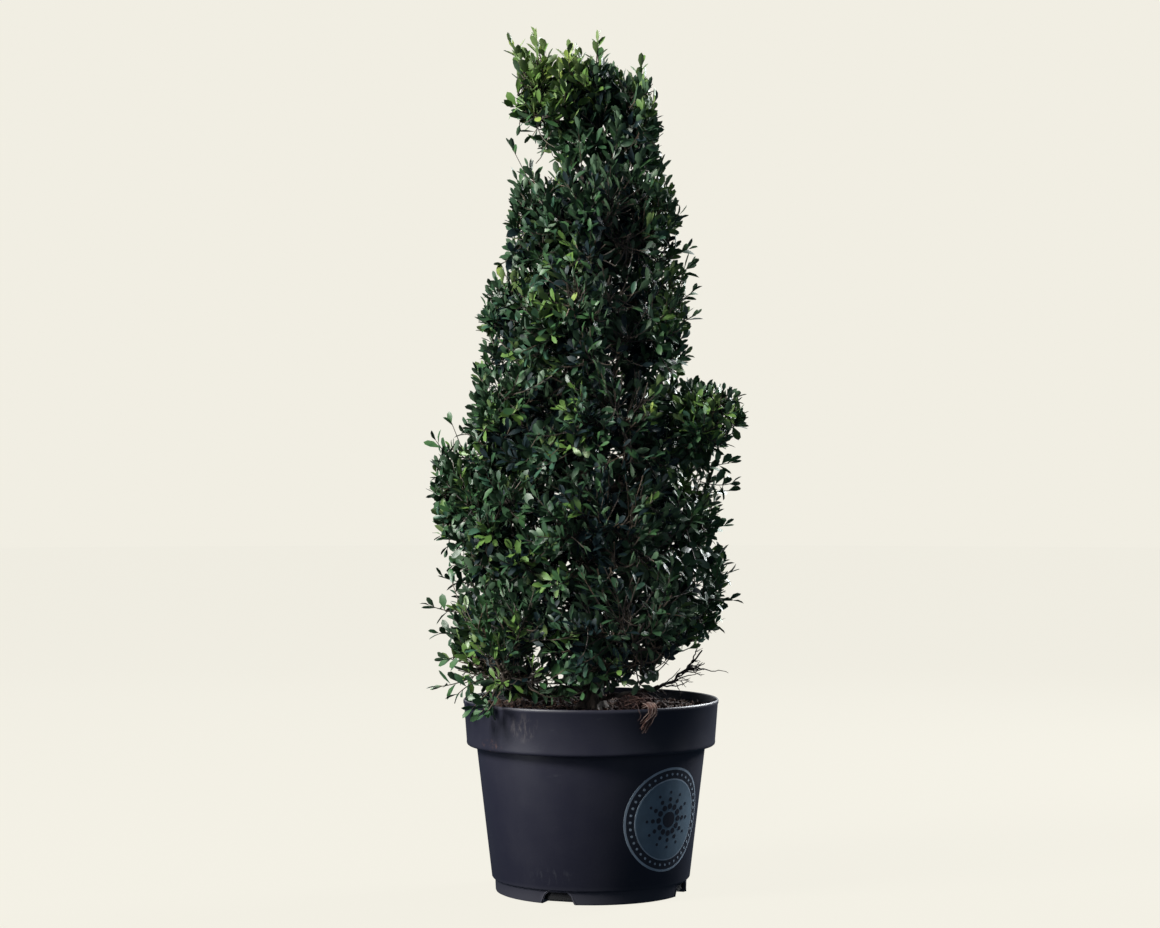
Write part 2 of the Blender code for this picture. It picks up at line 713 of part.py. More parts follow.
# ---------------------------------------------------------------- the whole plant
def main():
    for old in list(bpy.data.objects):
        bpy.data.objects.remove(old)
    make_pot()
    make_soil()
    smooth(add_object("trunk", trunk_shape(), "bark"), 60.0)
    trunk_clearance = as_cutter(add_object("trunk_clearance", trunk_shape(CLEARANCE), "bark"))

    limbs = Limbs()
    shares = [n / 24 for n in range(25)]
    limbs.add([trunk_point(s) for s in shares], [trunk_radius(s) for s in shares])
    limbs.freeze()

    masses = all_masses()
    lines = {mass.name: bough_line(mass, masses, limbs) for mass in masses if mass.bough_drop}
    stems = {}
    for mass in masses:
        if mass.name in lines:
            points, radii = lines[mass.name]
            make_bough(mass.name.replace("foliage", "bough"), points, radii, trunk_clearance)
            limbs.add(points, radii)
            tip, before = points[-1], points[-2]
        else:
            tip, before = trunk_point(1.0), trunk_point(0.97)
        stems[mass.name] = (tip, (tip - before).normalized())
    branch_lines = bare_lines(random.Random(SEED))
    make_bare_branch(branch_lines, trunk_clearance)
    tuft_lines = root_lines()
    make_root_tuft(tuft_lines)
    for points, radii in branch_lines + tuft_lines:
        limbs.add(points, radii)
    limbs.add(tuft_lines[0][0][:1] + tuft_lines[-1][0][:1], [max(ROOT_KNOT)])
    limbs.freeze()
    for n, mass in enumerate(masses):
        rng = random.Random(SEED + n)
        shapes = [core_shape(mass, masses, limbs), *pieces_of(mass, *stems[mass.name], masses, limbs, rng)]
        fused(mass.name, shapes, "foliage")


main()
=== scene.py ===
"""Looks for the potted Japanese holly: twigs and leaves, bark, peat, a plastic pot and a pale studio.

Each mass of leaves grows by the rule of the part's source, carried on from its bough to finer twigs.
"""

import math
from collections import namedtuple

import bmesh
import bpy
import numpy as np
from mathutils import Matrix, Vector, noise


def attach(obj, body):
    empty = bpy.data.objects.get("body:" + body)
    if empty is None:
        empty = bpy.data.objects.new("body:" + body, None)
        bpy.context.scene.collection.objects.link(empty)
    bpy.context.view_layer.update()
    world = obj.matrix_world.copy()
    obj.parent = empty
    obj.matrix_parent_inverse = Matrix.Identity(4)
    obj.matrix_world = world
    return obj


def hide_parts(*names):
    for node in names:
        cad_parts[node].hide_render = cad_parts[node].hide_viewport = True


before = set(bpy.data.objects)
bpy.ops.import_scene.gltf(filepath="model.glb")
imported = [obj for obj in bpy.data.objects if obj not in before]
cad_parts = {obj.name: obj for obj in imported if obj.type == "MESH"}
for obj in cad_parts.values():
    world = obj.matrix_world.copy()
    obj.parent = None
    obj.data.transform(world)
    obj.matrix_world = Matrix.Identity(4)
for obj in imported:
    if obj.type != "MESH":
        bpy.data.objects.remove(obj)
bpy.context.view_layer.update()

# ---------------------------------------------------------------- sizes repeated from the part's source
CLEARANCE = 0.0003
SEED = 7

POT_HEIGHT = 0.210
RIM_RADIUS = 0.140
COLLAR_HEIGHT = 0.050
COLLAR_FOOT = POT_HEIGHT - COLLAR_HEIGHT
COLLAR_FOOT_RADIUS = 0.1360
WALL_TOP_RADIUS = 0.1255
WALL_FOOT_RADIUS = 0.1085
FOOT_HEIGHT = 0.015
FOOT_RADIUS = 0.1045
POT_WALL = 0.0025
POT_FLOOR = 0.004
DRAIN_COUNT = 4
DRAIN_FIRST_DEG = -110.0
DRAIN_WIDTH = 0.038
DRAIN_TOP_SHARE = 0.68
DRAIN_HEIGHT = 0.013
DRAIN_DEPTH = 0.020

SOIL_TOP = 0.198
SOIL_FLAT_RADIUS = 0.030
SOIL_RELIEF = 0.0035

TRUNK_HEIGHT = 0.605
TRUNK_FOOT_RADIUS = 0.0115
TRUNK_TIP_RADIUS = 0.0035
ROOT_FLARE = 0.75
FLARE_HEIGHT = 0.012
FLARE_LOBES = 5

BOUGH_RINGS = 5
BOUGH_FOOT_RADIUS = 0.0062
BOUGH_FOOT_SHARE = 0.62
BOUGH_TIP_RADIUS = 0.0026
BOUGH_BEND = (0.55, 0.25)
ENTRY_SIDE = (-0.60, 0.0, -0.80)
ENTRY_SHARE = 0.97
LOWEST_BOUGH = 0.036
GOLDEN_ANGLE = math.radians(137.5)

FULLNESS = 2.8
SEAM = 0.02
LIMB_GAP = 0.0035
MARCH_STEP = 0.002
ROUND_SPREAD = 1.30
BOUGH_STAGGER = 0.007

Tier = namedtuple("Tier", "height shift ring count first radial vertical drop rise slope")
TIERS = {
    "skirt": Tier(0.286, -0.006, 0.102, 5, 8.0, 0.062, 0.076, 0.004, 0.022, 0.06),
    "lower": Tier(0.400, -0.010, 0.100, 5, -72.0, 0.062, 0.074, 0.075, 0.0, -0.06),
    "middle": Tier(0.512, -0.008, 0.084, 4, -65.0, 0.053, 0.074, 0.085, 0.0, -0.16),
    "upper": Tier(0.622, -0.006, 0.070, 4, -90.0, 0.054, 0.072, 0.080, 0.0, -0.16),
    "crest": Tier(0.730, 0.003, 0.053, 4, -90.0, 0.050, 0.078, 0.075, 0.0, -0.18),
}
TIER_LEAD = (1.0, 0.0, 0.1)
TUFTS = {
    "left_shoulder": ((-0.134, -0.012, 0.436), 180.0, (0.048, 0.050, 0.062), 0.070, (1.0, 0.0, 0.3)),
    "right_shoulder": ((0.121, -0.043, 0.515), -20.0, (0.053, 0.050, 0.044), 0.050, (1.0, 0.0, 0.2)),
    "top_left": ((-0.060, -0.006, 0.870), 180.0, (0.030, 0.050, 0.076), 0.075, (0.1, 0.0, 1.0)),
    "top_middle": ((-0.002, 0.002, 0.866), 90.0, (0.048, 0.032, 0.076), None, (0.0, 0.0, 1.0)),
    "top_right": ((0.050, 0.002, 0.840), 0.0, (0.032, 0.050, 0.072), 0.060, (0.0, 0.0, 1.0)),
}

BARE_BRANCH = (
    (0.009, -0.004, 0.2110),
    (0.048, -0.028, 0.2170),
    (0.092, -0.048, 0.2320),
    (0.119, -0.060, 0.2660),
)
BARE_RADIUS = 0.0028

ROOT_AZIMUTH_DEG = -64.0
ROOT_KNOT_RADIUS = 0.115
ROOT_KNOT_HEIGHT = 0.2105
ROOT_KNOT = (0.0120, 0.0160, 0.0080)
ROOT_HANG = 0.024

# ---------------------------------------------------------------- finer growth, in metres
UP = np.array((0.0, 0.0, 1.0))
ASKEW = (0.31, 0.52, 0.79)  # a direction that no limb runs along
OVER_RIM, BESIDE_RIM = 0.0015, 0.003  # how far above the rim leaves keep, or outside it
MARCH_COUNT = 100
MINGLE = 0.30  # how far twigs of neighbouring masses reach into each other, as a share of their size
MERGE = 9.0  # how sharply the masses' spaces meet on the crown's skin; less fills the clefts more
LEAF_GAP = 0.0012  # between leaves and limbs
TRUNK_RINGS, TRUNK_SIDES = 170, 28
BOUGH_FINE_RINGS, BOUGH_SIDES = 30, 12
BOUGH_COLLAR = (0.30, 0.10)  # how much thicker a bough is at its foot, and how fast that fades
MAIN_TWIGS = 9
MAIN_SHARE = 0.60
MAIN_LEAST = -0.4  # how far to a mass's inner side its main twigs still point
MAIN_FEET, SHOOT_FEET = (0.30, 0.85), (0.35, 0.98)  # where they leave the stem, or a main twig
MAIN_SAG, SHOOT_SAG = 0.004, 0.007
TWIG_SPREAD = 0.004  # how far the middle of a twig strays
SHOOTS, TUFT_SHOOTS = 165, 150
SHOOT_DEPTHS = (1.0, 0.91, 0.58, 0.99, 0.76, 0.96, 0.46, 0.85)  # how far out the shoots go, in turn
SHOOT_LEAST, TUFT_LEAST = -0.85, -0.95
SHOOT_SHORTEST = 0.010
HIDDEN_DEPTH, HIDDEN_OUTWARD = 0.80, -0.35  # shoots that end deeper, or point inward more, get painted shade: the near-black tone
STEM_TUBE = ((0.0026, 0.0013), 12, 6)  # radii at the foot and at the tip, rings and sides
MAIN_TUBE = ((0.0014, 0.0009), 8, 5)
SHOOT_TUBE = ((0.0008, 0.0005), 6, 4)
STRAY_TUBE = ((0.0008, 0.0005), 8, 4)
LEAF_LENGTH = 0.0172
TOP_LEAF_SCALE = 1.14  # how much longer leaves are in the tufts at the top
SMALL_LEAF = 0.8  # size of a leaf that doesn't fit whole
LEAF_WIDTH_SHARE = 0.41
LEAF_WIDTH_SPREAD = 0.13
LEAF_FOLD = (0.10, 0.42)  # how steeply its halves rise from the midrib
LEAF_CURL = (0.10, 0.12)  # how far its tip turns down: the middle value, and the spread
LEAF_THICKNESS = 0.00045
LEAF_SPACING = 0.0040
LEAFY_LENGTH = 0.046
FEWEST_LEAVES, MOST_LEAVES = 4, 99
FRESH_LEAVES = 6  # how many leaves at the tip of a fresh shoot are fresh
LEAF_OUTLINE = ((0.16, 0.13), (0.52, 0.48), (0.84, 0.38))  # half its width at shares of its length
LEAF_GROUPS = (*TIERS, "tufts")

# Where the crown is open: middle and half sizes in millimetres, and the share of leaves that stays.
# Twigs stay too, except where no leaf does.
OPENINGS = (
    ((158, 0, 205), (90, 300, 80), 0.0),  # under the right side
    ((100, 0, 238), (30, 300, 26), 0.0),
    ((-96, 0, 244), (72, 300, 26), 0.26),  # thin foot on the left
    ((-106, 0, 812), (46, 300, 24), 0.0),  # notch under the upper left tuft
    ((-48, 0, 792), (16, 300, 13), 0.0),
    ((-96, 0, 884), (18, 300, 26), 0.05),  # ragged left side of that tuft
    ((-64, 0, 915), (30, 300, 32), 0.50),
    ((-70, 0, 862), (26, 300, 34), 0.55),
    ((-31, 0, 946), (7, 300, 22), 0.0),  # between two of the top tufts
    ((34, 0, 936), (14, 300, 26), 0.0),
    ((75, 0, 905), (14, 300, 24), 0.10),  # slants the top right tuft
    ((88, 0, 872), (19, 300, 36), 0.10),
    ((36, -70, 850), (16, 60, 60), 0.30),  # dark hollows down the front
    ((38, -85, 710), (28, 60, 100), 0.12),
    ((42, -100, 570), (26, 60, 70), 0.15),
    ((36, -115, 450), (24, 60, 60), 0.25),
    ((36, -125, 350), (26, 60, 60), 0.20),
    ((56, -110, 262), (26, 60, 34), 0.20),
    ((-30, -100, 560), (16, 50, 16), 0.30),
    ((-22, -80, 662), (16, 50, 22), 0.30),
)
RIGHT_EDGE = 0.075  # how far right the crown's thinner right edge starts
RIGHT_EDGE_KEPT = 0.88  # share of leaves that stays there

# Sprigs that stand out of the crown: foot and tip in millimetres, and how many leaves each bears.
STRAYS = (
    (-52, -6, 890, -60, -8, 930, 7), (-66, -6, 890, -86, -12, 924, 6), (-62, -6, 862, -88, -20, 856, 4),
    (-40, -6, 840, -50, -16, 812, 9), (-48, -4, 848, -64, -12, 826, 8),
    (-24, -6, 836, -34, -18, 802, 7), (6, 2, 900, 8, 0, 932, 7), (44, 2, 872, 56, 0, 904, 7),
    (-62, -6, 764, -86, -14, 812, 3), (0, -20, 772, -8, -28, 814, 11), (12, -10, 774, 10, -16, 818, 11),
    (-12, 6, 770, -18, 4, 812, 11), (-16, -14, 768, -26, -20, 806, 11),
    (-30, -6, 792, -40, -12, 828, 12), (-22, 6, 798, -34, 4, 834, 12), (14, -6, 794, 17, -12, 838, 12),
    (44, -6, 790, 52, -14, 830, 11), (-56, -10, 758, -68, -12, 790, 9), (-66, 10, 752, -83, 14, 783, 8),
    (32, -12, 772, 38, -18, 816, 11), (56, -10, 764, 64, -14, 804, 10), (66, 12, 760, 78, 14, 798, 9),
    (20, -40, 756, 24, -50, 804, 11), (-20, -42, 754, -26, -52, 798, 11),
    (46, -34, 752, 54, -42, 797, 11), (10, 40, 756, 12, 52, 804, 11), (-30, 36, 752, -38, 46, 792, 11),
    (40, 38, 752, 48, 50, 796, 11), (0, 26, 786, 0, 36, 834, 11), (34, 26, 784, 40, 34, 828, 11),
    (24, -28, 786, 28, -36, 836, 11), (-10, -30, 786, -14, -40, 830, 11),
    (-26, -14, 842, -28, -44, 868, 9), (-28, -12, 860, -34, -40, 892, 9),
    (-20, -12, 880, -24, -36, 914, 9), (-34, -10, 835, -44, -44, 850, 9),
    (80, -20, 722, 96, -24, 738, 8), (84, -20, 690, 105, -28, 700, 9), (88, -20, 664, 108, -26, 682, 9),
    (92, -20, 640, 110, -26, 654, 9), (94, -24, 618, 112, -30, 628, 8),
    (-150, -12, 462, -169, -14, 492, 5), (-138, -12, 476, -152, -20, 512, 2),
    (130, -46, 523, 156, -54, 538, 8), (116, -30, 462, 150, -36, 468, 10),
    (118, -34, 448, 152, -40, 446, 9), (120, -20, 434, 150, -24, 438, 8),
    (118, -10, 396, 146, -14, 400, 8), (118, 10, 342, 152, 12, 346, 6),
    (112, -10, 324, 154, -14, 318, 6), (-128, -30, 338, -160, -36, 344, 6),
    (-135, -40, 306, -174, -48, 314, 6), (-132, -30, 280, -164, -44, 284, 5),
    (-124, -40, 262, -158, -50, 256, 6), (-128, -50, 238, -163, -62, 228, 7),
    (-96, -100, 226, -110, -118, 206, 8), (-102, -96, 228, -117, -110, 204, 8),
    (-108, -90, 226, -126, -104, 208, 7), (-118, -70, 236, -142, -80, 222, 7),
)
STRAY_LEAF_SCALE = 1.15  # how much longer their leaves are

# Tones of the leaves: colour, the colour it varies to, and roughness. The last two are undersides.
LEAF_TONES = {
    # The first tone is painted shade: near-black blue-green for leaves inside the crown and in the shaded
    # band down the front.
    "leaf_painted_shade": ((0.004, 0.011, 0.014), (0.009, 0.021, 0.022), 0.50),
    "leaf_dark": ((0.016, 0.044, 0.022), (0.026, 0.066, 0.028), 0.40),
    "leaf_green": ((0.028, 0.078, 0.030), (0.044, 0.106, 0.036), 0.40),
    "leaf_blue": ((0.022, 0.064, 0.040), (0.034, 0.088, 0.052), 0.40),
    "leaf_light": ((0.072, 0.145, 0.032), (0.105, 0.190, 0.044), 0.40),
    "leaf_fresh": ((0.160, 0.235, 0.044), (0.230, 0.300, 0.070), 0.42),
    "leaf_under": ((0.036, 0.074, 0.038), (0.052, 0.096, 0.048), 0.55),
    "leaf_young_under": ((0.085, 0.140, 0.045), (0.125, 0.185, 0.060), 0.50),
}
SHADE_TONE, DARK, GREEN, BLUE, LIGHT, FRESH, UNDER, YOUNG_UNDER = range(8)
LEAF_IOR, DEEP_LEAF_IOR = 1.45, 1.28  # leaves inside the crown shine less
DARK_SHARE, BLUE_SHARE = 0.62, 0.10  # of the shoots that have no brighter tone; the rest are green


# ---------------------------------------------------------------- small helpers
def unit(vectors):
    """Vectors scaled to length 1."""
    return vectors / np.maximum(np.linalg.norm(vectors, axis=-1, keepdims=True), 1e-9)


def dot(a, b):
    """Dot product that keeps the last axis."""
    return (a * b).sum(-1, keepdims=True)


def square_to(vectors, wanted):
    """The part of wanted that stands square to vectors, at length 1."""
    return unit(wanted - vectors * dot(wanted, vectors))


def curve(starts, bends, ends, t):
    """Points and directions of quadratic curves at the shares t."""
    t = np.asarray(t)[..., None]
    points = starts * (1 - t) ** 2 + bends * 2 * t * (1 - t) + ends * t**2
    return points, unit((bends - starts) * (1 - t) + (ends - bends) * t)


class Soup:
    """Vertices and faces gathered in bulk, to make one mesh."""

    def __init__(self):
        self.points, self.corners, self.sizes, self.slots = [], [], [], []
        self.count = 0

    def add(self, points, faces, slots=0):
        """Adds copies of a shape. points is (copies, vertices, 3), faces are tuples of vertex numbers."""
        copies, vertices = points.shape[:2]
        first = self.count + vertices * np.arange(copies)
        self.corners.append((first[:, None] + np.concatenate(faces)).ravel())
        self.sizes.append(np.tile([len(face) for face in faces], copies))
        self.slots.append(np.broadcast_to(slots, (copies, len(faces))).ravel())
        self.points.append(points.reshape(-1, 3))
        self.count += copies * vertices

    def add_tubes(self, lines, radii, sides, slot=0, aside=None):
        """Adds closed tubes along lines (tubes, rings, 3), with a radius for each tube, ring or both."""
        tubes, rings = lines.shape[:2]
        radii = np.broadcast_to(radii, (tubes, rings))
        along = unit(np.gradient(lines, axis=1))
        if aside is None:
            aside = np.cross(unit(lines[:, -1] - lines[:, 0]), ASKEW)[:, None]
        side = square_to(along, np.broadcast_to(aside, lines.shape))
        other = np.cross(along, side)
        angles = 2 * np.pi * np.arange(sides) / sides
        offsets = side[:, :, None] * np.cos(angles)[:, None] + other[:, :, None] * np.sin(angles)[:, None]
        points = lines[:, :, None] + offsets * radii[:, :, None, None]
        self.add(points.reshape(tubes, rings * sides, 3), tube_faces(rings, sides), slot)

    def build(self, name, materials, sharp_deg=50.0):
        """The mesh object of all that was added."""
        mesh = bpy.data.meshes.new(name)
        points, corners, sizes = (np.concatenate(x) for x in (self.points, self.corners, self.sizes))
        mesh.vertices.add(len(points))
        mesh.vertices.foreach_set("co", points.astype(np.float32).ravel())
        mesh.loops.add(len(corners))
        mesh.loops.foreach_set("vertex_index", corners.astype(np.int32))
        mesh.polygons.add(len(sizes))
        mesh.polygons.foreach_set("loop_start", (np.cumsum(sizes) - sizes).astype(np.int32))
        mesh.polygons.foreach_set("material_index", np.concatenate(self.slots).astype(np.int32))
        mesh.update(calc_edges=True)
        return finish_mesh(name, mesh, materials, sharp_deg)


def tube_faces(rings, sides):
    """Faces of a tube whose vertices are numbered ring by ring, with both ends capped."""
    faces = []
    for ring in range(rings - 1):
        for i in range(sides):
            j = (i + 1) % sides
            low, high = ring * sides, (ring + 1) * sides
            faces.append((low + i, low + j, high + j, high + i))
    top = (rings - 1) * sides
    return [*faces, tuple(reversed(range(sides))), tuple(range(top, top + sides))]


def in_scene(name, data):
    """A new object in the scene."""
    made = bpy.data.objects.new(name, data)
    bpy.context.scene.collection.objects.link(made)
    return made


def finish_mesh(name, mesh, materials, sharp_deg=50.0):
    """An object of the mesh, smooth except at sharp edges."""
    for material in materials:
        mesh.materials.append(material)
    mesh.shade_smooth()
    mesh.set_sharp_from_angle(angle=math.radians(sharp_deg))
    return in_scene(name, mesh)


def from_bmesh(name, bm, materials, sharp_deg=50.0):
    """The same for a bmesh."""
    bmesh.ops.recalc_face_normals(bm, faces=bm.faces)
    mesh = bpy.data.meshes.new(name)
    bm.to_mesh(mesh)
    bm.free()
    return finish_mesh(name, mesh, materials, sharp_deg)


def place(made, slot, *nodes):
    """Puts a finished piece on the part's root body and hides the nodes it stands for; slot is not used.
    """
    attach(made, "root")
    if nodes:
        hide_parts(*nodes)


def applied(made):
    """Replaces an object's mesh by what its modifiers give."""
    graph = bpy.context.evaluated_depsgraph_get()
    mesh = bpy.data.meshes.new_from_object(made.evaluated_get(graph))
    made.modifiers.clear()
    made.data = mesh


# ---------------------------------------------------------------- materials
class Shader:
    """A Principled material and the few nodes that this script puts before it."""

    def __init__(self, name, roughness, ior=1.5):
        self.material = bpy.data.materials.new(name)
        self.material.use_nodes = True
        self.tree = self.material.node_tree
        self.shader = self.tree.nodes["Principled BSDF"]
        self.shader.inputs["Roughness"].default_value = roughness
        self.shader.inputs["IOR"].default_value = ior
        self.place = self.tree.nodes.new("ShaderNodeTexCoord").outputs["Object"]

    def node(self, kind, sockets, **settings):
        """The outputs of a new node whose sockets are set to a value or linked to another output."""
        made = self.tree.nodes.new("ShaderNode" + kind)
        for key, value in settings.items():
            setattr(made, key, value)
        for socket, value in sockets.items():
            if isinstance(value, bpy.types.NodeSocket):
                self.tree.links.new(value, made.inputs[socket])
            else:
                made.inputs[socket].default_value = value
        return made.outputs

    def stretched(self, scale, turn=(0.0, 0.0, 0.0)):
        """The object's coordinates, scaled along each axis."""
        return self.node("Mapping", {"Scale": scale, "Rotation": turn, "Vector": self.place})["Vector"]

    def noise(self, scale, detail=3.0, where=None, rough=0.55):
        sockets = {"Scale": scale, "Detail": detail, "Roughness": rough, "Vector": where or self.place}
        return self.node("TexNoise", sockets)["Fac"]

    def spots(self, scale):
        """Distance to the nearest of many scattered points."""
        return self.node("TexVoronoi", {"Scale": scale, "Vector": self.place})["Distance"]

    def blob(self, centre, size):
        """1 at a place on the object, falling to 0 at the given half sizes from it."""
        sockets = {"Location": centre, "Scale": size, "Vector": self.place}
        where = self.node("Mapping", sockets, vector_type="TEXTURE")["Vector"]
        return self.node("TexGradient", {"Vector": where}, gradient_type="SPHERICAL")["Fac"]

    def range(self, value, low, high, to_low=0.0, to_high=1.0):
        """Maps low..high to to_low..to_high, held at both ends."""
        return self.node("MapRange", {0: value, 1: low, 2: high, 3: to_low, 4: to_high})["Result"]

    def patches(self, low, high, *of_noise):
        """Noise with soft-edged patches: 0 below low, 1 above high."""
        return self.range(self.noise(*of_noise), low, high)

    def times(self, a, b):
        return self.node("Math", {0: a, 1: b}, operation="MULTIPLY")["Value"]

    def mix(self, share, a, b):
        """Mixes two colours, each a tuple or another node's output."""
        a, b = ((*value, 1.0) if isinstance(value, tuple) else value for value in (a, b))
        return self.node("Mix", {0: share, 6: a, 7: b}, data_type="RGBA")[2]

    def finish(self, colour, height, distance, strength, roughness=None):
        """The material, with its colour, a bump that is distance high, and any uneven roughness."""
        sockets = {"Strength": strength, "Distance": distance, "Height": height}
        ends = {"Base Color": colour, "Normal": self.node("Bump", sockets)["Normal"]}
        if roughness is not None:
            ends["Roughness"] = roughness
        for socket, value in ends.items():
            self.tree.links.new(value, self.shader.inputs[socket])
        return self.material


def leaf_material(name):
    """Waxy holly leaf: patches of a second tone, a fine leathery grain and an uneven gloss."""
    colour, other, roughness = LEAF_TONES[name]
    s = Shader(name, roughness, DEEP_LEAF_IOR if name == "leaf_painted_shade" else LEAF_IOR)
    tone = s.mix(s.patches(0.35, 0.65, 90.0), colour, other)
    gloss = s.range(s.noise(400.0, 2.0), 0.3, 0.7, roughness - 0.05, roughness + 0.10)
    return s.finish(tone, s.noise(900.0, 2.0), 0.0002, 0.35, gloss)


def bark_material(name, dark, light, grey):
    """Fissured bark: dark cracks along the limb, worn ridges and pale lichen patches."""
    s = Shader(name, 0.85)
    cracks = s.noise(220.0, 5.0, s.stretched((1.0, 1.0, 0.22)), 0.65)
    colour = s.mix(s.range(cracks, 0.36, 0.62), dark, light)
    colour = s.mix(s.patches(0.56, 0.72, 45.0, 4.0), colour, grey)
    return s.finish(colour, cracks, 0.0012, 0.8, s.range(cracks, 0.3, 0.7, 0.95, 0.70))


def twig_material():
    """Young shoots: olive brown, paler and pinkish in places."""
    s = Shader("young_twig", 0.62)
    colour = s.mix(s.patches(0.40, 0.62, 60.0), (0.026, 0.020, 0.015), (0.072, 0.054, 0.038))
    colour = s.mix(s.patches(0.55, 0.70, 25.0, 2.0), colour, (0.115, 0.078, 0.052))
    return s.finish(colour, s.noise(900.0, 3.0), 0.0003, 0.5)


def plastic_material():
    """Charcoal pot plastic: dusty film, thin scratches, a smear and dirt on the collar, and painted floor
    light low on the foot.
    """
    s = Shader("pot_charcoal", 0.42, 1.42)
    dust = s.patches(0.42, 0.78, 9.0, 5.0, s.stretched((1.0, 1.0, 0.45)))
    colour = s.mix(s.times(dust, 0.35), (0.0135, 0.0135, 0.0235), (0.036, 0.036, 0.047))
    scratch = s.patches(0.70, 0.80, 38.0, 2.0, s.stretched((1.0, 1.0, 7.0), (0.5, 0.3, 0.0)), 0.8)
    colour = s.mix(s.times(scratch, 0.25), colour, (0.080, 0.082, 0.090))
    streaks = s.patches(0.46, 0.66, 150.0, 6.0, s.stretched((1.0, 1.0, 0.35), (0.0, 0.5, 0.0)), 0.7)
    flecks = s.patches(0.52, 0.66, 260.0, 4.0)
    # A dry smear and a patch of dirt on the collar, and scuffs over the foot.
    for centre, size, pattern, low, high, tint in (
        ((-0.072, -0.120, 0.189), (0.024, 0.030, 0.020), streaks, 0.08, 0.75, (0.078, 0.070, 0.072)),
        ((-0.106, -0.084, 0.167), (0.020, 0.022, 0.009), flecks, 0.06, 0.60, (0.085, 0.050, 0.046)),
        ((-0.045, -0.100, 0.030), (0.045, 0.040, 0.012), streaks, 0.10, 0.90, (0.046, 0.048, 0.058)),
    ):
        colour = s.mix(s.range(s.times(s.blob(centre, size), pattern), low, high), colour, tint)
    floor_bounce = s.times(s.blob((0.0, -0.050, 0.004), (0.180, 0.160, 0.018)), 0.7)  # painted light bounced up from the pale floor, lighter low on the foot's front
    colour = s.mix(floor_bounce, colour, (0.064, 0.063, 0.074))
    sheen = s.range(s.noise(26.0, 5.0), 0.30, 0.70, 0.36, 0.52)
    return s.finish(colour, s.noise(700.0, 3.0), 0.0003, 0.25, sheen)


def badge_material(name, colour, roughness):
    """Printed ink with a faint mottle."""
    s = Shader(name, roughness)
    darker = tuple(0.8 * c for c in colour)
    tone = s.mix(s.patches(0.35, 0.65, 70.0, 4.0), darker, colour)
    return s.finish(tone, s.noise(600.0, 2.0), 0.0002, 0.25)


def soil_material(name, dark, light):
    """Peat: dark ground with reddish crumbs, with painted shade making it nearly black low down in the
    pot.
    """
    s = Shader(name, 0.95)
    crumbs = s.range(s.spots(330.0), 0.0, 0.55)
    colour = s.mix(s.patches(0.38, 0.64, 160.0, 5.0), dark, light)
    colour = s.mix(crumbs, colour, dark)
    # Painted shade: the peat turns nearly black low down, inside the pot where light doesn't reach.
    upper = s.range(s.blob((0.0, 0.0, 0.210), (0.400, 0.400, 0.160)), 0.05, 0.40)
    colour = s.mix(upper, (0.003, 0.003, 0.004), colour)
    return s.finish(colour, s.noise(520.0, 5.0), 0.0012, 0.9)


def fibre_material(name, dark, light):
    """Dry root fibre with streaks along it."""
    s = Shader(name, 0.85)
    colour = s.mix(s.patches(0.38, 0.64, 140.0, 4.0), dark, light)
    return s.finish(colour, s.noise(1200.0, 3.0), 0.0003, 0.6)


# ---------------------------------------------------------------- limbs
def trunk_points(shares):
    """Points on the trunk's axis: it leans a little and bends twice on its way up."""
    x = 0.010 * shares - 0.006 + 0.006 * np.cos(shares * 7.0)
    y = 0.005 * np.sin(shares * 6.0)
    return np.stack((x, y, SOIL_TOP + CLEARANCE + shares * TRUNK_HEIGHT), -1)


def trunk_radii(shares):
    """Taper only, without the root flare."""
    return TRUNK_FOOT_RADIUS + (TRUNK_TIP_RADIUS - TRUNK_FOOT_RADIUS) * shares**0.8


class Limbs:
    """The lines of every limb made so far, for keeping leaves clear of them."""

    def __init__(self):
        self.starts, self.ways, self.radii = np.zeros((0, 3)), np.zeros((0, 3)), np.zeros(0)

    def add(self, points, radii):
        self.starts = np.concatenate((self.starts, points[:-1]))
        self.ways = np.concatenate((self.ways, np.diff(points, axis=0)))
        self.radii = np.concatenate((self.radii, radii[:-1]))

    def gap(self, points):
        """Distance from each point to the nearest limb's surface."""
        to_point = points[..., None, :] - self.starts
        t = np.clip((to_point * self.ways).sum(-1) / (self.ways**2).sum(-1), 0, 1)
        away = np.linalg.norm(to_point - self.ways * t[..., None], axis=-1) - self.radii
        return away.min(-1)


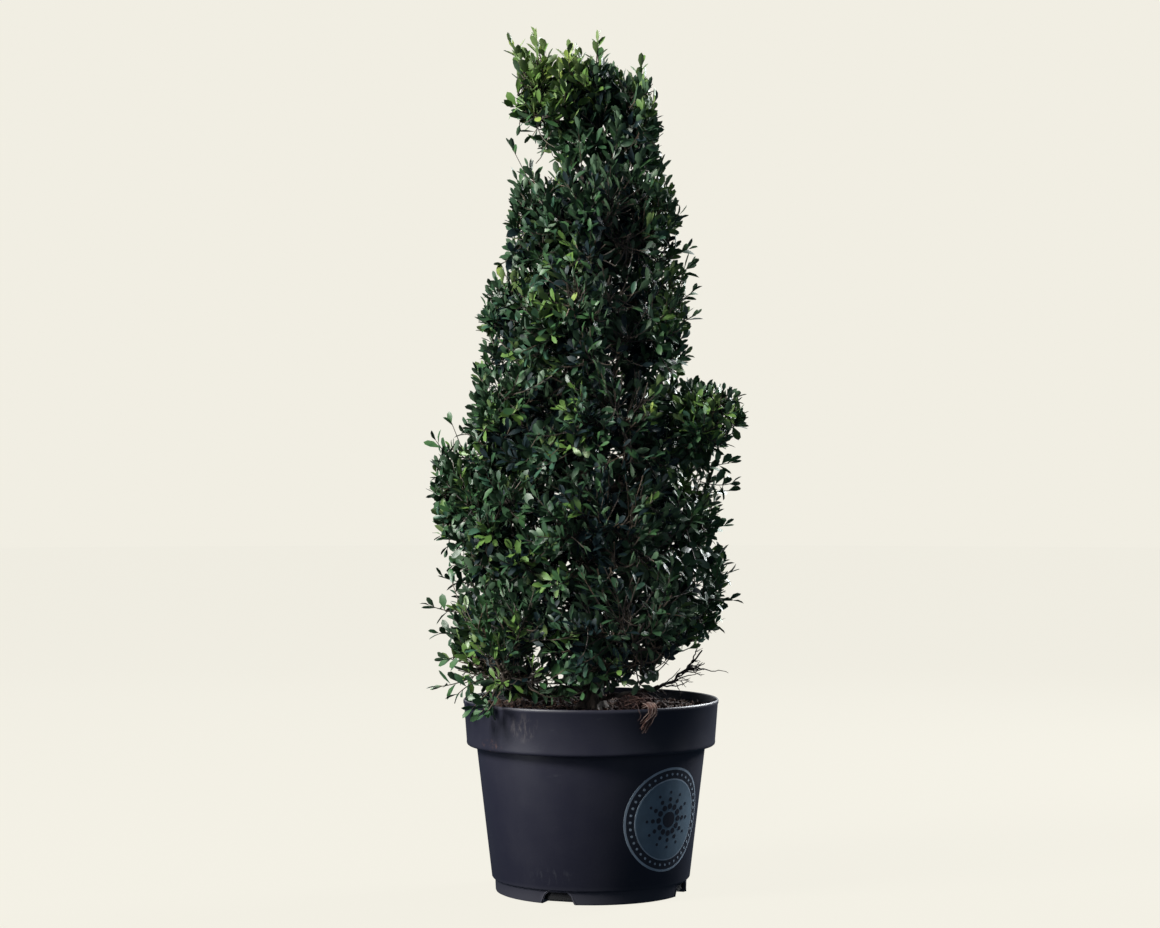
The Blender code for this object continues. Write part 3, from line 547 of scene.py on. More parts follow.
# ---------------------------------------------------------------- the spaces that masses keep to
class Mass:
    """One leafy mass: a rounded space, less what lies nearer to its neighbours."""

    def __init__(self, name, centre, azimuth_deg, half_sizes, bough_drop, lead, tier=None):
        self.name = name
        self.centre = np.array(centre)
        self.azimuth = math.radians(azimuth_deg)
        self.outward = np.array((math.cos(self.azimuth), math.sin(self.azimuth), 0.0))
        self.sideways = np.array((-math.sin(self.azimuth), math.cos(self.azimuth), 0.0))
        self.half_sizes = np.array(half_sizes)
        self.bough_drop = bough_drop
        self.lead = self.turn(lead)
        self.tier = tier

    def offset(self, points):
        """How far outward, sideways and up points are from the centre."""
        up = points[..., 2] - self.centre[2]
        if self.tier is None:
            out = points - self.centre
            return np.stack((out @ self.outward, out @ self.sideways, up), -1)
        x, y = points[..., 0] - self.tier.shift, points[..., 1]
        turn = np.remainder(np.arctan2(y, x) - self.azimuth + np.pi, 2 * np.pi) - np.pi
        ring = self.tier.ring + self.tier.slope * up
        return np.stack((np.hypot(x, y) - ring, turn * ring, up), -1)

    def share(self, points):
        """How far out points are in this mass's space: 0 at its centre, 1 on its skin."""
        return ((np.abs(self.offset(points)) / self.half_sizes) ** FULLNESS).sum(-1) ** (1 / FULLNESS)

    def turn(self, directions):
        """Directions given as outward, sideways and up, in the world."""
        out, side, up = np.moveaxis(np.asarray(directions, float), -1, 0)
        turned = out[..., None] * self.outward + side[..., None] * self.sideways + up[..., None] * UP
        return unit(turned)


def all_masses():
    """The tiers' masses in a ring each, and the single tufts."""
    masses = []
    for name, tier in TIERS.items():
        half_sizes = (tier.radial, math.pi * tier.ring / tier.count * ROUND_SPREAD, tier.vertical)
        for k in range(tier.count):
            azimuth = tier.first + 360.0 * k / tier.count
            x, y = math.cos(math.radians(azimuth)), math.sin(math.radians(azimuth))
            centre = (tier.shift + tier.ring * x, tier.ring * y, tier.height + tier.rise * x)
            values = centre, azimuth, half_sizes, tier.drop + BOUGH_STAGGER * k, TIER_LEAD, tier
            masses.append(Mass(f"{name}_foliage_{k + 1}", *values))
    for name, values in TUFTS.items():
        masses.append(Mass(f"{name}_foliage", *values))
    return masses


def clear_of_pot(points):
    """True above the rim, or outside it."""
    over = points[..., 2] > POT_HEIGHT + OVER_RIM
    return over | (np.hypot(points[..., 0], points[..., 1]) > RIM_RADIUS + BESIDE_RIM)


def in_own_space(mass, points, masses):
    """True where points are in the mass's own space, as in the part's source."""
    own = mass.share(points)
    others = np.min([other.share(points) for other in masses if other is not mass], axis=0)
    return (own <= 1.0) & (others >= own + SEAM) & clear_of_pot(points)


def in_crown(mass, points, masses):
    """True where points are in the crown and not far inside a neighbour of the mass."""
    own = mass.share(points)
    others = np.array([other.share(points) for other in masses if other is not mass])
    crown = (own**-MERGE + (others**-MERGE).sum(0)) ** (-1 / MERGE)
    return (crown <= 1.0) & (others.min(0) >= own - MINGLE) & clear_of_pot(points)


def kept_share(points):
    """The share of leaves that stays at each point, less in the crown's openings."""
    kept = np.where(points[..., 0] > RIGHT_EDGE, RIGHT_EDGE_KEPT, 1.0)
    for middle, halves, share in OPENINGS:
        away = (((points - np.array(middle) / 1000) / (np.array(halves) / 1000)) ** 2).sum(-1)
        kept = np.where(away < 1.0, np.minimum(kept, share), kept)
    return kept


def march(mass, directions, inside):
    """How far along each direction from the mass's centre the points stay inside."""
    steps = MARCH_STEP * np.arange(1, MARCH_COUNT + 1)
    points = mass.centre + directions[..., None, :] * steps[:, None]
    return MARCH_STEP * np.argmin(inside(points), axis=-1)


def reach(mass, directions, masses):
    """How far the mass may grow from its centre along each direction."""
    return march(mass, directions, lambda points: in_crown(mass, points, masses))


def bough_line(mass, masses, trunk_only):
    """Start, bend and end of a bough, from the trunk's axis to inside its mass, and its foot radius."""
    inward = mass.turn(ENTRY_SIDE)

    def inside(points):
        return in_own_space(mass, points, masses) & (trunk_only.gap(points) > LIMB_GAP)

    entry = mass.centre + inward * (march(mass, inward, inside) * ENTRY_SHARE)
    root_share = max(LOWEST_BOUGH, (entry[2] - mass.bough_drop - SOIL_TOP - CLEARANCE) / TRUNK_HEIGHT)
    root = trunk_points(np.array(root_share))
    out, up = BOUGH_BEND
    bend = root + (entry - root) * (out, out, up)
    return root, bend, entry, min(BOUGH_FOOT_RADIUS, trunk_radii(root_share) * BOUGH_FOOT_SHARE)


# ---------------------------------------------------------------- trunk and boughs with bark relief
def bark_relief(point):
    """How much thicker a limb is at a point: ridges that run along it, and lumps."""
    x, y, z = point
    ridges = noise.noise(Vector((x * 420.0, y * 420.0, z * 70.0)))
    lumps = noise.noise(Vector((x * 60.0, y * 60.0, z * 38.0 + 5.0)))
    return 1.0 + (0.10 * ridges + 0.14 * lumps)


def add_limb(soup, points, radii, sides, lobes=None):
    """Adds one rough limb. lobes(ring, angle) widens it further."""
    along = unit(np.gradient(points, axis=0))
    runs_along_x = abs(along[len(along) // 2, 0]) > 0.9
    aside = np.array((0.0, 1.0, 0.1) if runs_along_x else (1.0, 0.02, 0.03))
    side = square_to(along, np.broadcast_to(aside, points.shape))
    other = np.cross(along, side)
    shape = np.zeros((len(points), sides, 3))
    for ring, (point, radius) in enumerate(zip(points, radii)):
        for i in range(sides):
            angle = 2 * math.pi * i / sides
            offset = side[ring] * math.cos(angle) + other[ring] * math.sin(angle)
            size = radius * bark_relief(point + offset * radius)
            shape[ring, i] = point + offset * (size * (lobes(ring, angle) if lobes else 1.0))
    soup.add(shape.reshape(1, -1, 3), tube_faces(len(points), sides))


def make_limbs(boughs, bark):
    """Trunk and boughs as one mesh, each bough with a collar where it leaves the trunk."""
    soup = Soup()
    shares = np.linspace(0.0, 1.0, TRUNK_RINGS) ** 1.15  # closer together at the foot

    def flare(ring, angle):
        fall = math.exp(-shares[ring] * TRUNK_HEIGHT / FLARE_HEIGHT)
        return 1.0 + ROOT_FLARE * fall * (0.6 + 0.4 * math.cos(FLARE_LOBES * angle))

    add_limb(soup, trunk_points(shares), trunk_radii(shares), TRUNK_SIDES, flare)
    t = np.linspace(0.0, 1.0, BOUGH_FINE_RINGS)
    thicker, fade = BOUGH_COLLAR
    for root, bend, entry, foot in boughs.values():
        radii = (foot + (BOUGH_TIP_RADIUS - foot) * t) * (1.0 + thicker * np.exp(-t / fade))
        add_limb(soup, curve(root, bend, entry, t)[0], radii, BOUGH_SIDES)
    nodes = ["trunk", *(name.replace("foliage", "bough") for name in boughs)]
    place(soup.build("trunk_and_boughs", [bark], 80.0), "bark", *nodes)


# ---------------------------------------------------------------- twigs
def golden_directions(mass, count, least, rng):
    """Directions spread by the golden angle over the side of a mass where outward is above least."""
    total = int(count * 2.0 / (1.0 - least))
    k = np.arange(total)
    across = 1.0 - 2.0 * (k + 0.5) / total
    angle = k * GOLDEN_ANGLE + rng.uniform(-0.25, 0.25, total)
    ring = np.sqrt(1.0 - across**2)
    directions = mass.turn(np.stack((across, ring * np.cos(angle), ring * np.sin(angle)), -1))
    return directions[across > least]


Shoots = namedtuple("Shoots", "starts bends ends tones")


def add_twigs(soup, starts, bends, ends, radii, rings, sides):
    """Adds curved twigs that taper from the first radius to the second."""
    t = np.linspace(0.0, 1.0, rings)
    lines = curve(starts[:, None], bends[:, None], ends[:, None], t)[0]
    first, last = radii
    soup.add_tubes(lines, first + (last - first) * t, sides)


def stem_of(mass, boughs, masses):
    """Start, bend and end of the stem that carries a bough, or the trunk, on through its mass."""
    if mass.name in boughs:
        _, bend, tip, _ = boughs[mass.name]
        along = unit(tip - bend)
    else:
        tip = trunk_points(np.array(1.0))
        along = unit(tip - trunk_points(np.array(0.97)))
    end = mass.centre + mass.lead * reach(mass, mass.lead, masses) * MAIN_SHARE
    way = np.linalg.norm(mass.centre - tip)
    return tip - along * 0.001, tip + along * way * 0.7, end


def bent(starts, ends, sag, rng):
    """Middles for twigs from starts to ends, strayed a little and sagging."""
    return (starts + ends) / 2 + rng.normal(0.0, TWIG_SPREAD, ends.shape) - UP * sag


def grow(mass, boughs, masses, soup, rng):
    """Adds a mass's stem, main twigs and shoots to the soup of twigs, and returns the shoots."""
    stem = [x[None] for x in stem_of(mass, boughs, masses)]
    add_twigs(soup, *stem, *STEM_TUBE)

    ways = golden_directions(mass, MAIN_TWIGS, MAIN_LEAST, rng)
    starts = curve(*stem, rng.uniform(*MAIN_FEET, len(ways)))[0]
    ends = mass.centre + ways * (reach(mass, ways, masses) * MAIN_SHARE)[:, None]
    bends = bent(starts, ends, MAIN_SAG, rng)
    add_twigs(soup, starts, bends, ends, *MAIN_TUBE)

    count, least = (SHOOTS, SHOOT_LEAST) if mass.tier else (TUFT_SHOOTS, TUFT_LEAST)
    out = golden_directions(mass, count, least, rng)
    depths = np.resize(SHOOT_DEPTHS, len(out)) * rng.uniform(0.92, 1.03, len(out))
    lengths = reach(mass, out, masses) * depths - LEAF_LENGTH * 0.7
    kept = (lengths > SHOOT_SHORTEST) & (kept_share(mass.centre + out * lengths[:, None]) > 0.0)
    out, lengths, depths = out[kept], lengths[kept], depths[kept]
    nearest = (out @ ways.T).argmax(1)
    feet = rng.uniform(*SHOOT_FEET, len(out))
    starts = curve(starts[nearest], bends[nearest], ends[nearest], feet)[0]
    tips = mass.centre + out * lengths[:, None]
    bends = bent(starts, tips, SHOOT_SAG, rng)
    add_twigs(soup, starts, bends, tips, *SHOOT_TUBE)
    hidden = (depths < HIDDEN_DEPTH) | (out @ mass.outward < HIDDEN_OUTWARD)
    return Shoots(starts, bends, tips, shoot_tones(tips, hidden & (mass.tier is not None), rng))


def bell(x, z, middle, size):
    """1 at a place in the front view, falling to 0 round it."""
    return np.exp(-(((x - middle[0]) / size[0]) ** 2) - ((z - middle[1]) / size[1]) ** 2)


def shoot_tones(tips, hidden, rng):
    """One tone for each shoot: fresh ones mostly at the top left, painted light down the right edge and
    at the left foot, painted shade inside and down the front.
    """
    x, y, z = tips.T
    # Young growth at the top left: its fresh and light tones are partly its own colour, partly painted
    # light shining through young leaves.
    youth = bell(x, z, (-0.038, 0.905), (0.045, 0.060))
    # Painted light: lighter shoots down the right edge and at the left foot, where the lamps catch the
    # crown, and more of them at the top.
    painted_light = np.interp(z, (0.80, 0.86), (0.0, 0.20)) + np.interp(x, (0.05, 0.08), (0.0, 0.22)) * (z > 0.5)
    painted_light += np.interp(x, (-0.09, -0.05), (0.35, 0.0)) * np.interp(z, (0.26, 0.32), (1.0, 0.0))
    fresh = 0.015 + 0.75 * youth
    light = 0.15 + 0.85 * youth + painted_light
    # Painted shade: a dark band down the front, wider on its left, and a dark foot beside it, where the
    # crown's front right and its low right side lie in shade.
    side = np.where(x < 0.026, 0.044, 0.032)
    shade = np.exp(-(((x - 0.026) / side) ** 2)) * (y < 0.0) * np.interp(z, (0.84, 0.90), (1.1, 0.6))
    shade = np.maximum(shade, 2.0 * bell(x, z, (0.062, 0.244), (0.032, 0.030)))
    draw = rng.random(len(tips))
    tones = np.full(len(tips), GREEN)
    tones[draw < DARK_SHARE] = DARK
    tones[draw > 1.0 - BLUE_SHARE] = BLUE
    tones[rng.random(len(tips)) < light * (1.0 - 0.7 * np.minimum(shade, 1.0))] = LIGHT
    tones[rng.random(len(tips)) < fresh] = FRESH
    tones[hidden | (rng.random(len(tips)) < 0.50 * shade)] = SHADE_TONE
    return tones


# ---------------------------------------------------------------- leaves
def leaf_template():
    """Vertices as length, side and midrib's face, 1 or -1; the faces; and which of these lie under."""
    rows = [(0.0, 0.0, 0)]
    for station, half in LEAF_OUTLINE:
        rows += [(station, half, 0), (station, 0.0, 1), (station, -half, 0), (station, 0.0, -1)]
    rows.append((1.0, 0.0, 0))
    rings = [range(n, n + 4) for n in range(1, len(rows) - 1, 4)]
    faces = []
    for i in range(4):
        j = (i + 1) % 4
        faces.append((0, rings[0][j], rings[0][i]))
        faces += [(near[i], near[j], far[j], far[i]) for near, far in zip(rings, rings[1:])]
        faces.append((rings[-1][i], rings[-1][j], len(rows) - 1))
    under = np.repeat((False, False, True, True), len(rings) + 1)
    return np.array(rows), faces, under


def leaf_frames(shoots, rng, most=MOST_LEAVES):
    """Roots, directions, faces, lengths and tones of the leaves, which spiral down from a shoot's tip."""
    parts = []
    for start, bend, end, tone in zip(*shoots):
        way = np.linalg.norm(bend - start) + np.linalg.norm(end - bend)
        fitting = int(min(LEAFY_LENGTH, way * 0.9) / LEAF_SPACING * rng.uniform(0.8, 1.15))
        count = min(max(FEWEST_LEAVES, fitting), most)
        k = np.arange(count)
        t = np.clip(1.0 - (k * LEAF_SPACING + rng.uniform(-0.001, 0.001, count)) / way, 0.0, 1.0)
        roots, along = curve(start, bend, end, t)
        aside = unit(np.cross(along, ASKEW))
        turn = (rng.uniform(0, 2 * np.pi) + k * GOLDEN_ANGLE + rng.normal(0, 0.25, count))[:, None]
        around = aside * np.cos(turn) + np.cross(along, aside) * np.sin(turn)
        lean = (np.minimum(0.15 + 0.32 * k, 1.02) + rng.normal(0, 0.12, count))[:, None]
        upright = np.interp(end[2], (0.60, 0.85), (0.25, 0.60))  # more so at the top of the crown
        directions = unit(along * np.cos(lean) + around * np.sin(lean) + UP * upright)
        faces = square_to(directions, along * 0.7 + UP * 0.55 + rng.normal(0, 0.28, along.shape))
        sizes = LEAF_LENGTH * np.minimum(0.72 + 0.10 * k, 1.0) * rng.normal(1.0, 0.09, count)
        tones = np.full(count, tone)
        tones[(tones == FRESH) & (k >= FRESH_LEAVES)] = LIGHT
        parts.append((roots, directions, faces, sizes, tones))
    return [np.concatenate(x) for x in zip(*parts)]


def add_leaves(soup, mass, masses, limbs, shoots, rng):
    """Adds the leaves that fit in the mass's space to the soup of leaves."""
    roots, directions, faces, sizes, tones = leaf_frames(shoots, rng)
    if mass.centre[2] > TIERS["crest"].height:
        sizes = sizes * TOP_LEAF_SCALE

    def fits(scale):
        tips = roots + directions * (sizes * scale)[:, None]
        middles = roots + directions * (sizes * scale * 0.5)[:, None]
        inside = in_crown(mass, tips, masses) & (limbs.gap(tips) > LEAF_GAP)
        return inside & (limbs.gap(middles) > LEAF_GAP)

    whole, smaller = fits(1.0), fits(SMALL_LEAF)
    sizes = np.where(whole, sizes, sizes * SMALL_LEAF)
    kept = (whole | smaller) & (rng.random(len(roots)) < kept_share(roots + directions * sizes[:, None]))
    draw_leaves(soup, *(x[kept] for x in (roots, directions, faces, sizes, tones)), rng)


def draw_leaves(soup, roots, directions, faces, sizes, tones, rng):
    """Adds leaves of their own width, fold and curl."""
    count = len(roots)
    rows, template_faces, under = leaf_template()
    length, side, rib = rows.T
    width = LEAF_WIDTH_SHARE * rng.normal(1.0, LEAF_WIDTH_SPREAD, count).clip(0.7, 1.3)
    fold = rng.uniform(*LEAF_FOLD, count)
    curl = rng.normal(*LEAF_CURL, count)
    across = side * width[:, None]
    rise = rib * LEAF_THICKNESS / 2 / LEAF_LENGTH
    lift = np.abs(across) * fold[:, None] - curl[:, None] * length**2 + rise
    sideways = np.cross(directions, faces)[:, None] * across[..., None]
    shape = directions[:, None] * length[:, None] + sideways + faces[:, None] * lift[..., None]
    undersides = np.where(tones >= LIGHT, YOUNG_UNDER, UNDER)
    slots = np.where(under, undersides[:, None], tones[:, None])
    soup.add(roots[:, None] + shape * sizes[:, None, None], template_faces, slots)


def add_strays(leaves, twigs):
    """Adds the sprigs that stand out of the crown."""
    rng = np.random.default_rng(SEED + 400)
    ends, counts = np.array(STRAYS)[:, :6] / 1000, [row[6] for row in STRAYS]
    feet, tips = ends[:, :3], ends[:, 3:]
    bends = (feet + tips) / 2 + rng.normal(0.0, 0.003, feet.shape)
    add_twigs(twigs, feet, bends, tips, *STRAY_TUBE)
    tones = np.where(tips[:, 2] > 0.84, LIGHT, np.resize((GREEN, DARK, GREEN), len(feet)))
    tones[(tips[:, 0] < -0.02) & (tips[:, 2] > 0.88)] = FRESH
    for n, most in enumerate(counts):
        one = Shoots(feet[n:n + 1], bends[n:n + 1], tips[n:n + 1], tones[n:n + 1])
        roots, directions, faces, sizes, leaf_tones = leaf_frames(one, rng, most)
        draw_leaves(leaves, roots, directions, faces, sizes * STRAY_LEAF_SCALE, leaf_tones, rng)


def make_crown(masses, boughs, limbs):
    """Twigs and leaves of every mass, joined by tier."""
    leaf_materials = [leaf_material(name) for name in LEAF_TONES]
    twig = twig_material()
    for group in LEAF_GROUPS:
        members = [m for m in masses if m.tier is TIERS.get(group)]
        leaves, twigs = Soup(), Soup()
        for mass in members:
            rng = np.random.default_rng(SEED + masses.index(mass))
            shoots = grow(mass, boughs, masses, twigs, rng)
            add_leaves(leaves, mass, masses, limbs, shoots, rng)
        if group == "tufts":
            add_strays(leaves, twigs)
        nodes = [mass.name for mass in members]
        place(leaves.build(f"leaves_{group}", leaf_materials, 60.0), "foliage", *nodes)
        place(twigs.build(f"twigs_{group}", [twig]), "bark")


# ---------------------------------------------------------------- pot
POT_STEPS = 160
POT_SHARP_DEG = 40.0
DRAIN_TURNS = [math.radians(DRAIN_FIRST_DEG + 360.0 * k / DRAIN_COUNT) for k in range(DRAIN_COUNT)]
DRAIN_BELOW = -0.002  # where the cutter starts, under the foot
DRAIN_LIP_RADIUS = 0.0008
AXIS_RADIUS = 0.004  # where turned shapes are capped
# The pot's corners from its underside round to its floor, each with the steps that round it off.
POT_CORNERS = (
    (AXIS_RADIUS, 0.0, ((0.0, 0.0),)),
    (FOOT_RADIUS, 0.0, ((-0.0020, 0.0), (-0.0006, 0.0006), (0.0, 0.0020))),
    (FOOT_RADIUS, FOOT_HEIGHT, ((0.0005, -0.0008), (0.0010, 0.0))),
    (WALL_FOOT_RADIUS, FOOT_HEIGHT, ((-0.0008, 0.0004), (0.0, 0.0016))),
    (WALL_TOP_RADIUS, COLLAR_FOOT, ((0.0, 0.0),)),
    (COLLAR_FOOT_RADIUS, COLLAR_FOOT, (
        (-0.0012, 0.0004), (-0.0001, 0.0014), (0.0003, 0.0032), (0.0002, 0.0050))),
    (RIM_RADIUS, POT_HEIGHT, (
        (-0.0008, -0.0052), (-0.0001, -0.0040), (0.0, -0.0020), (-0.0004, -0.0007),
        (-0.0012, 0.0), (-0.0020, -0.0004), (-POT_WALL, -0.0014))),
    (COLLAR_FOOT_RADIUS, COLLAR_FOOT, ((-POT_WALL, POT_WALL),)),
    (WALL_TOP_RADIUS, COLLAR_FOOT, ((-POT_WALL, 0.0),)),
    (FOOT_RADIUS, POT_FLOOR, ((-POT_WALL, 0.0),)),
    (AXIS_RADIUS, POT_FLOOR, ((0.0, 0.0),)),
)


def tube_bmesh(rings):
    """A closed tube through rings of points, as a bmesh."""
    bm = bmesh.new()
    vertices = [bm.verts.new(point) for ring in rings for point in ring]
    for face in tube_faces(len(rings), len(rings[0])):
        bm.faces.new([vertices[i] for i in face])
    return bm


def turned(profile, steps, lift=lambda x, y, z: 0.0):
    """A closed turned shape. Its profile runs from the axis to the axis, lift(x, y, z) adds relief."""
    angles = [2 * math.pi * i / steps for i in range(steps)]
    rings = [[(radius * math.cos(a), radius * math.sin(a), z) for a in angles] for radius, z in profile]
    return tube_bmesh([[(x, y, z + lift(x, y, z)) for x, y, z in ring] for ring in rings])


def drain_section(grown=0.0):
    """Outline of a drain notch across the foot, as sideways and up, wider by grown."""
    foot, top = DRAIN_WIDTH / 2 + grown, DRAIN_WIDTH / 2 * DRAIN_TOP_SHARE + grown
    height = DRAIN_HEIGHT + grown
    right = ((top - 0.0025, height), (top + 0.0015, height - 0.0035), (foot, 0.0))
    return (*((-side, up) for side, up in reversed(right)), *right)


def drain_cutter(turn):
    """A wedge with bevelled upper corners, through the pot's foot at one azimuth."""
    section = [(side, up if up else DRAIN_BELOW) for side, up in drain_section()]
    inner, outer = FOOT_RADIUS - DRAIN_DEPTH, WALL_FOOT_RADIUS + 0.01
    bm = tube_bmesh([[(x, side, up) for side, up in section] for x in (inner, outer)])
    bm.transform(Matrix.Rotation(turn, 4, "Z"))
    return from_bmesh("drain_cutter", bm, [])


def make_pot(plastic):
    """The pot's thin shell with a rolled lip, a bead under its collar and drain notches in its foot."""
    profile = [(radius + out, height + up) for radius, height, steps in POT_CORNERS for out, up in steps]
    pot = from_bmesh("pot_shell", turned(profile, POT_STEPS), [plastic], POT_SHARP_DEG)
    cutters = [drain_cutter(turn) for turn in DRAIN_TURNS]
    for cutter in cutters:
        modifier = pot.modifiers.new("notch", "BOOLEAN")
        modifier.operation, modifier.solver, modifier.object = "DIFFERENCE", "EXACT", cutter
    applied(pot)
    for cutter in cutters:
        bpy.data.objects.remove(cutter)
    pot.data.set_sharp_from_angle(angle=math.radians(POT_SHARP_DEG))
    place(pot, "pot_plastic", "pot")
    make_drain_lips(plastic)


def make_drain_lips(plastic):
    """A thin raised edge round each drain notch, on the foot's outer face."""
    soup = Soup()
    side, up = np.array(drain_section(0.0006)).T
    radius = FOOT_RADIUS + 0.0002
    for turn in DRAIN_TURNS:
        angles = turn + side / FOOT_RADIUS
        line = np.stack((radius * np.cos(angles), radius * np.sin(angles), up + 0.0009), -1)
        aside = np.array((math.cos(turn), math.sin(turn), 0.0))
        soup.add_tubes(line[None], DRAIN_LIP_RADIUS, 8, aside=aside)
    place(soup.build("drain_lips", [plastic], 70.0), "pot_plastic")


# ---------------------------------------------------------------- plain badge on the pot
BADGE_AZIMUTH = math.radians(-45.5)
BADGE_HEIGHT = 0.0883
BADGE_RADIUS = 0.0560
BADGE_PROUD = 0.0002  # how far each layer of ink stands out from the one below it
BADGE_INKS = {
    "pale": ((0.270, 0.330, 0.390), 0.45),
    "dark": ((0.012, 0.014, 0.024), 0.45),
    "blue": ((0.095, 0.145, 0.190), 0.50),
}
BADGE_DISCS = (  # from the lowest layer up: its share of the radius, and its ink
    ("edge", 1.0, "pale"),
    ("band", 0.955, "dark"),
    ("rim", 0.785, "pale"),
    ("face", 0.760, "blue"),
)
BADGE_DOT_RING = 0.870  # where the dots stand, as a share of the radius
BADGE_DOTS = 40
BADGE_DOT_RADIUS = 0.0014
BADGE_RAYS = 12
BADGE_RAY_DOTS = ((0.0145, 0.0031), (0.0220, 0.0023), (0.0295, 0.0016))  # distance and radius
BADGE_HUB_RADIUS = 0.0085
WALL_SHARE = 0.43  # how far up the wall the badge is laid out without stretch


def wall_radius(share):
    return WALL_FOOT_RADIUS + (WALL_TOP_RADIUS - WALL_FOOT_RADIUS) * share


def on_wall(across, up, proud):
    """Points on the pot's wall, given in the badge's own flat coordinates."""
    height = BADGE_HEIGHT + up
    radius = wall_radius((height - FOOT_HEIGHT) / (COLLAR_FOOT - FOOT_HEIGHT)) + proud
    angle = BADGE_AZIMUTH + across / wall_radius(WALL_SHARE)
    return np.stack((radius * np.cos(angle), radius * np.sin(angle), height), -1)


def circle(radius, steps, centre=(0.0, 0.0)):
    """Points round a centre, evenly spaced."""
    angles = 2 * np.pi * np.arange(steps) / steps
    return np.stack((centre[0] + radius * np.cos(angles), centre[1] + radius * np.sin(angles)), -1)


def add_disc(soup, radius, layer, centre=(0.0, 0.0), steps=96):
    """Adds a disc of ink at one of the layers, closed on its underside."""
    outlines = [circle(radius * share, steps, centre) for share in (0.03, 0.35, 0.70, 1.0)]
    layers = [*outlines, outlines[-1], *reversed(outlines)]
    lifts = [BADGE_PROUD * (layer + 1)] * len(outlines) + [-BADGE_PROUD] * (len(outlines) + 1)
    points = [on_wall(*outline.T, lift) for outline, lift in zip(layers, lifts)]
    soup.add(np.concatenate(points)[None], tube_faces(len(layers), steps))


def make_badge():
    """A plain round badge that says nothing: a ring of dots round a disc with dotted rays."""
    inks = {name: badge_material(f"badge_{name}", *values) for name, values in BADGE_INKS.items()}
    parts = {}
    for layer, (name, share, ink) in enumerate(BADGE_DISCS):
        parts[name] = Soup(), ink
        add_disc(parts[name][0], BADGE_RADIUS * share, layer)
    marks, motif = Soup(), Soup()
    parts["marks"], parts["motif"] = (marks, "pale"), (motif, "dark")
    for spot in circle(BADGE_RADIUS * BADGE_DOT_RING, BADGE_DOTS):
        add_disc(marks, BADGE_DOT_RADIUS, 2, spot, 12)
    for k in range(BADGE_RAYS):
        for distance, radius in BADGE_RAY_DOTS:
            add_disc(motif, radius, 4, circle(distance, BADGE_RAYS)[k], 20)
    add_disc(motif, BADGE_HUB_RADIUS, 4)
    for name, (soup, ink) in parts.items():
        place(soup.build(f"badge_{name}", [inks[ink]]), "pot_plastic")


# ---------------------------------------------------------------- soil
SOIL_FINE_RELIEF = 0.0016
SOIL_STEPS = 180
SOIL_RINGS = 44
CRUMBS = 1900
CRUMB_LEAST, CRUMB_MOST = 0.0006, 0.0042
CRUMB_SHOWN = 0.35  # how far a crumb's middle stands over the peat, as a share of its size
LITTER = 150
LITTER_RINGS = 7
LITTER_HALVES = (0.004, 0.013)  # half the length of a bit of root or stalk
LITTER_RADII = (0.0003, 0.0007)
CLEAR_OF_TRUNK = 0.016


def soil_height(x, y):
    """The soil's surface: the source's small lumps, with finer ones on top."""
    if math.hypot(x, y) < SOIL_FLAT_RADIUS:
        return 0.0
    lumps = SOIL_RELIEF * noise.noise(Vector((x * 34.0, y * 34.0, 3.7)))
    return lumps + SOIL_FINE_RELIEF * noise.noise(Vector((x * 190.0, y * 190.0, 1.3)))


def soil_edge_radius(height):
    """The soil's radius inside the collar."""
    slope = (RIM_RADIUS - COLLAR_FOOT_RADIUS) / COLLAR_HEIGHT
    return COLLAR_FOOT_RADIUS + slope * (height - COLLAR_FOOT) - POT_WALL - CLEARANCE


def make_soil():
    """The peat in the pot, with loose crumbs and bits of fibre on it."""
    rim = soil_edge_radius(SOIL_TOP - 0.004)
    rings = [(rim * share, SOIL_TOP) for share in np.linspace(0.985, 0.02, SOIL_RINGS)]
    profile = [
        (AXIS_RADIUS, POT_FLOOR + CLEARANCE),
        (FOOT_RADIUS - POT_WALL - 0.001, POT_FLOOR + CLEARANCE),
        (WALL_TOP_RADIUS - POT_WALL - 0.0005, COLLAR_FOOT + CLEARANCE),
        (COLLAR_FOOT_RADIUS - POT_WALL - 0.001, COLLAR_FOOT + POT_WALL + CLEARANCE * 2),
        (rim, SOIL_TOP - 0.005),
        *rings,
    ]

    def lift(x, y, z):
        return soil_height(x, y) if z >= SOIL_TOP - 0.001 else 0.0

    peat = soil_material("peat", (0.026, 0.015, 0.013), (0.090, 0.048, 0.034))
    place(from_bmesh("soil_bed", turned(profile, SOIL_STEPS, lift), [peat], 80.0), "soil", "soil")
    rng = np.random.default_rng(SEED + 100)
    make_crumbs(rng, rim, peat)
    make_litter(rng, rim)


